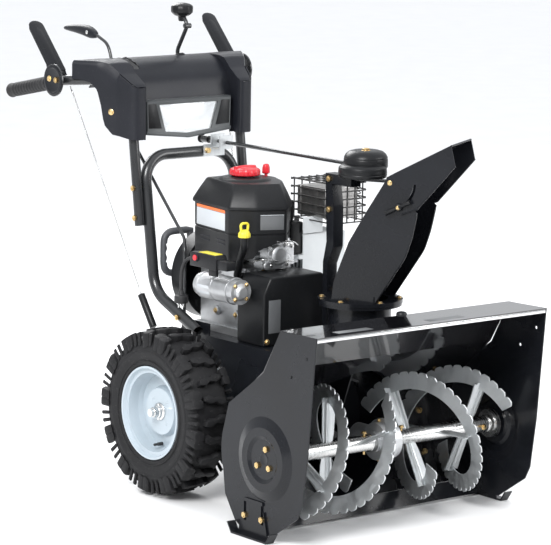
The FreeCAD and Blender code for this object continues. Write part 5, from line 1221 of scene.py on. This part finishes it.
def make_lever(label, side):
    """Pressed clutch lever: flanged channel with a rounded tip, on two ears."""
    pivot = Vector((270 * side, 456, 965))
    turn = Matrix.Rotation(math.radians(46), 3, "X")
    tip = [(-21 * math.cos(turn), 156 + 15.5 * math.sin(turn)) for turn in (0.35, 0.7, 1.05, 1.4)]
    outline = [(-21, 12), (-21, 156)] + tip + [(-x, y) for x, y in reversed(tip)] + [(21, 156), (21, 12)]
    blade = prism_mesh(outline, 13, 15.6, lambda a, b, c: pivot + turn @ Vector((a, b, c)))
    rib = prism_mesh([(-9, 26), (-9, 140), (0, 150), (9, 140), (9, 26), (0, 20)], 15, 16,
                     lambda a, b, c: pivot + turn @ Vector((a, b, c)))
    flanges = []
    for low in (-21, 18.6):
        ear = [(-9, -7), (-4, -10), (6, -10), (14, -6), (40, 6), (150, 8), (158, 13.5), (12, 13.5), (-6, 9)]
        flanges.append(prism_mesh(ear, low, low + 2.4, lambda a, b, c: pivot + turn @ Vector((c, a, b))))
    piece = new_piece(label + "_bar", *joined(blade, rib, *flanges), BLACK, label, "tube_paint",
                      rounding=0.7)
    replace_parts(piece, label)
    studs = [bolt_mesh(pivot + X * 25.5 * hand, X * hand, 5.5, 3) for hand in (-1, 1)]
    new_piece(label + "_pivot_nuts", *joined(*studs), ZINC_GOLD, "frame", "zinc_gold", rounding=0.3)


def make_speed_lever():
    x = -118
    stalk = rounded_path([(x, 425, 890), (x, 444, 1008), (x, 460, 1043), (x, 512, 1062)], 18)
    hub = lathe_mesh([(-8, 8.6), (-7, 9), (7, 9), (8, 8.6)], (x, 424, 884), X, 32)
    new_piece("speed_stalk", *joined(tube_mesh(stalk, 4, 14), hub), TUBE_BLACK, "speed_lever",
              "black_plastic", angle=50)
    sections = [(505, 1060, 5, 5), (516, 1062, 9, 10), (530, 1064, 12, 14), (552, 1070, 15, 14),
                (590, 1072, 16, 11), (625, 1071, 15, 7.5), (641, 1070, 11, 4.5), (645, 1070, 7, 2)]
    vertices, faces, steps = [], [], 20
    for y, z, half_width, half_height in sections:
        for step in range(steps):
            turn = 2 * math.pi * step / steps
            round_x = math.copysign(abs(math.cos(turn)) ** 0.6, math.cos(turn))
            round_z = math.copysign(abs(math.sin(turn)) ** 0.6, math.sin(turn))
            vertices.append((x + half_width * round_x, y, z + half_height * round_z))
    for ring in range(len(sections) - 1):
        here, there = ring * steps, ring * steps + steps
        faces += [(here + s, here + (s + 1) % steps, there + (s + 1) % steps,
                   there + s) for s in range(steps)]
    faces += [tuple(range(steps)), tuple(range((len(sections) - 1) * steps, len(sections) * steps))]
    piece = new_piece("speed_knob", vertices, faces, SOFT_PLASTIC, "speed_lever", "black_plastic",
                      angle=50, subdivide=1)
    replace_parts(piece, "speed_lever")
    dot = lathe_mesh([(0, 5), (1, 5), (1.6, 3.5)], (x - 12.5, 534, 1067), -X, 24)
    new_piece("speed_knob_screw", *dot, BRIGHT, "speed_lever", "bright_steel", rounding=0.2)


def make_crank():
    """Steering crank with its yoke below and its mushroom knob on top."""
    foot, top = Vector((78, 335, 824)), Vector((60, 410, 1019))
    rod = rounded_path([foot, top, (60, 365, 1090), (60, 384, 1112)], 14, 8)
    run = (top - foot).normalized()
    yoke = lathe_mesh([(0, 7), (1, 9), (24, 9), (26, 6)], foot, run, 32)
    knuckle = lathe_mesh([(-10, 5), (-9, 6.5), (9, 6.5), (10, 5)], Vector((60, 366, 1088)), X, 24)
    piece = new_piece("steering_crank", *joined(tube_mesh(rod, 5, 16), yoke, knuckle), TUBE_BLACK,
                      "chute_crank", "tube_paint", angle=50)
    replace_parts(piece, "chute_crank")
    profile = [(-14, 7.5), (-12, 9), (-2, 10.5), (0, 17), (2, 21), (8, 27), (12, 28), (22, 28), (26, 26),
               (30, 19), (32, 10)]
    new_piece("steering_knob", *lathe_mesh(profile, (60, 389, 1112), Z, 72, lobes=12, depth=0.03), PLASTIC,
              "chute_crank", "black_plastic", rounding=0.5)
    spider = lathe_mesh([(-8, 4), (-7, 6), (7, 6), (8, 4)], Vector((79.7, 328, 806)), X, 24)
    boot = lathe_mesh([(-6, 8.5), (-3, 11), (0, 8.5), (3, 11), (6, 8.5)], Vector((79.9, 327, 806)), Y, 32)
    new_piece("steering_joint_boot", *joined(spider, boot), GRIP, "chute_rod", "black_plastic", angle=50)


def make_cables():
    """Clutch cables: black sleeves by the frame and thin steel wires up to the levers."""
    for label, side, lever in (("right", -1, "auger_lever"), ("left", 1, "drive_lever")):
        top = Vector((240 * side, 447, 944))
        joint = Vector((165 * side, 244, 441))
        foot = Vector((165 * side, 191, 367))
        run = foot - joint
        length = run.length
        sleeve = lathe_mesh([(0, 7), (0.5, 9.4), (length - 1, 9.4), (length, 7)], joint, run, 28)
        first = new_piece("cable_sleeve_" + label, *sleeve, PLASTIC, "frame", "wire_black", rounding=0.4)
        points = [joint.lerp(top, step / 30) for step in range(31)]
        wire = tube_mesh(points, 1.7, 10)
        mesh = bpy.data.meshes.new("cable_wire_" + label)
        mesh.from_pydata([Vector(v) * MM for v in wire[0]], [], wire[1])
        mesh.materials.append(BRIGHT)
        mesh.shade_smooth()
        piece = bpy.data.objects.new("cable_wire_" + label, mesh)
        scene.collection.objects.link(piece)
        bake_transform(piece)
        if side < 0:
            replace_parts(first, "clutch_cables")


def make_bracket_details():
    """Bolts and plates that the handlebar carries."""
    heads, plates = [], []
    for side in (-1, 1):
        face = 296.2 * side
        heads.append(bolt_mesh((face, 456, 965), X * side, 6, 4))
        plates.append(lathe_mesh([(0, 38), (1.2, 38), (1.8, 36.5), (1.8, 30), (0.8, 29)],
                                 (face - 0.2 * side, 441, 962), X * side, 56))
        for y, z in ((262, 705), (254, 632)):
            heads.append(bolt_mesh((151 * side, y + 6, z), X * side, 5, 2))
    new_piece("bracket_plate_rims", *joined(*plates), BLACK, "frame", "tube_paint", rounding=0.4)
    new_piece("bracket_bolts", *joined(*heads), ZINC_GOLD, "frame", "zinc_gold", rounding=0.3)


# ------------------------------------------------------------------ studio

CAMERA_SPOT = Vector((-4.4417, -5.6779, 1.7154))
CAMERA_AZIMUTH, CAMERA_TILT, CAMERA_ROLL = -38.437, 9.448, 0.853
LENS = 195.6


def make_camera():
    azimuth, tilt = math.radians(CAMERA_AZIMUTH), math.radians(CAMERA_TILT)
    forward = Vector((-math.sin(azimuth) * math.cos(tilt), math.cos(azimuth) * math.cos(tilt),
                      -math.sin(tilt)))
    camera = bpy.data.objects.new("camera", bpy.data.cameras.new("camera"))
    camera.data.lens = LENS
    camera.data.sensor_width = 36
    camera.data.clip_end = 60
    level = forward.to_track_quat("-Z", "Y").to_matrix()
    roll = Matrix.Rotation(math.radians(CAMERA_ROLL), 3, "Z")
    camera.matrix_world = Matrix.Translation(CAMERA_SPOT) @ (level @ roll).to_4x4()
    scene.collection.objects.link(camera)
    scene.camera = camera


def area_light(name, spot, target, size, power):
    light = bpy.data.lights.new(name, "AREA")
    light.shape = "RECTANGLE"
    light.size, light.size_y = size
    light.energy = power
    lamp = bpy.data.objects.new(name, light)
    lamp.location = spot
    lamp.rotation_euler = (Vector(target) - Vector(spot)).to_track_quat("-Z", "Y").to_euler()
    scene.collection.objects.link(lamp)


def make_studio():
    size = 14
    vertices = [(-size, -size, -0.001), (size, -size, -0.001), (size, size, -0.001), (-size, size, -0.001)]
    mesh = bpy.data.meshes.new("floor")
    mesh.from_pydata(vertices, [], [(0, 1, 2, 3)])
    mesh.materials.append(FLOOR)
    floor = bpy.data.objects.new("floor", mesh)
    scene.collection.objects.link(floor)
    world = bpy.data.worlds.new("studio_world")
    world.use_nodes = True
    nodes, links = world.node_tree.nodes, world.node_tree.links
    background = nodes["Background"]
    background.inputs["Color"].default_value = (0.95, 0.97, 1.0, 1)
    direction = nodes.new("ShaderNodeTexCoord").outputs["Generated"]
    height = nodes.new("ShaderNodeSeparateXYZ")
    links.new(direction, height.inputs[0])
    links.new(range_node(world.node_tree, height.outputs["Z"], -0.1, 1.0, 0.5, 1.45),
              background.inputs["Strength"])
    scene.world = world
    scene.view_settings.view_transform = "Standard"
    area_light("key_light", (-3.6, -2.2, 3.6), (0, 0, 0.5), (2.2, 1.6), 260)
    area_light("fill_light", (2.8, -3.4, 2.2), (0, -0.3, 0.4), (1.8, 2.2), 80)
    area_light("rim_light", (0.6, 3.6, 3.0), (0, 0, 0.6), (3.0, 1.4), 120)


# ------------------------------------------------------------------ build

make_camera()
make_starter_cord()
make_studio()
finish_frame_nodes()
make_wheels()
make_auger("auger_right", -1)
make_auger("auger_left", 1)
make_bearing_caps()
make_gear_case_bolts()
make_housing_trim()
make_chute_details()
make_wing_knobs()
make_gear_cover()
make_shroud()
make_shroud_details()
make_caps()
make_engine_fittings()
make_governor()
make_starter_details()
make_recoil()
make_belt_cover()
make_muffler_details()
make_console()
make_headlight()
make_grips()
make_lever("auger_lever", -1)
make_lever("drive_lever", 1)
make_speed_lever()
make_crank()
make_cables()
make_bracket_details()
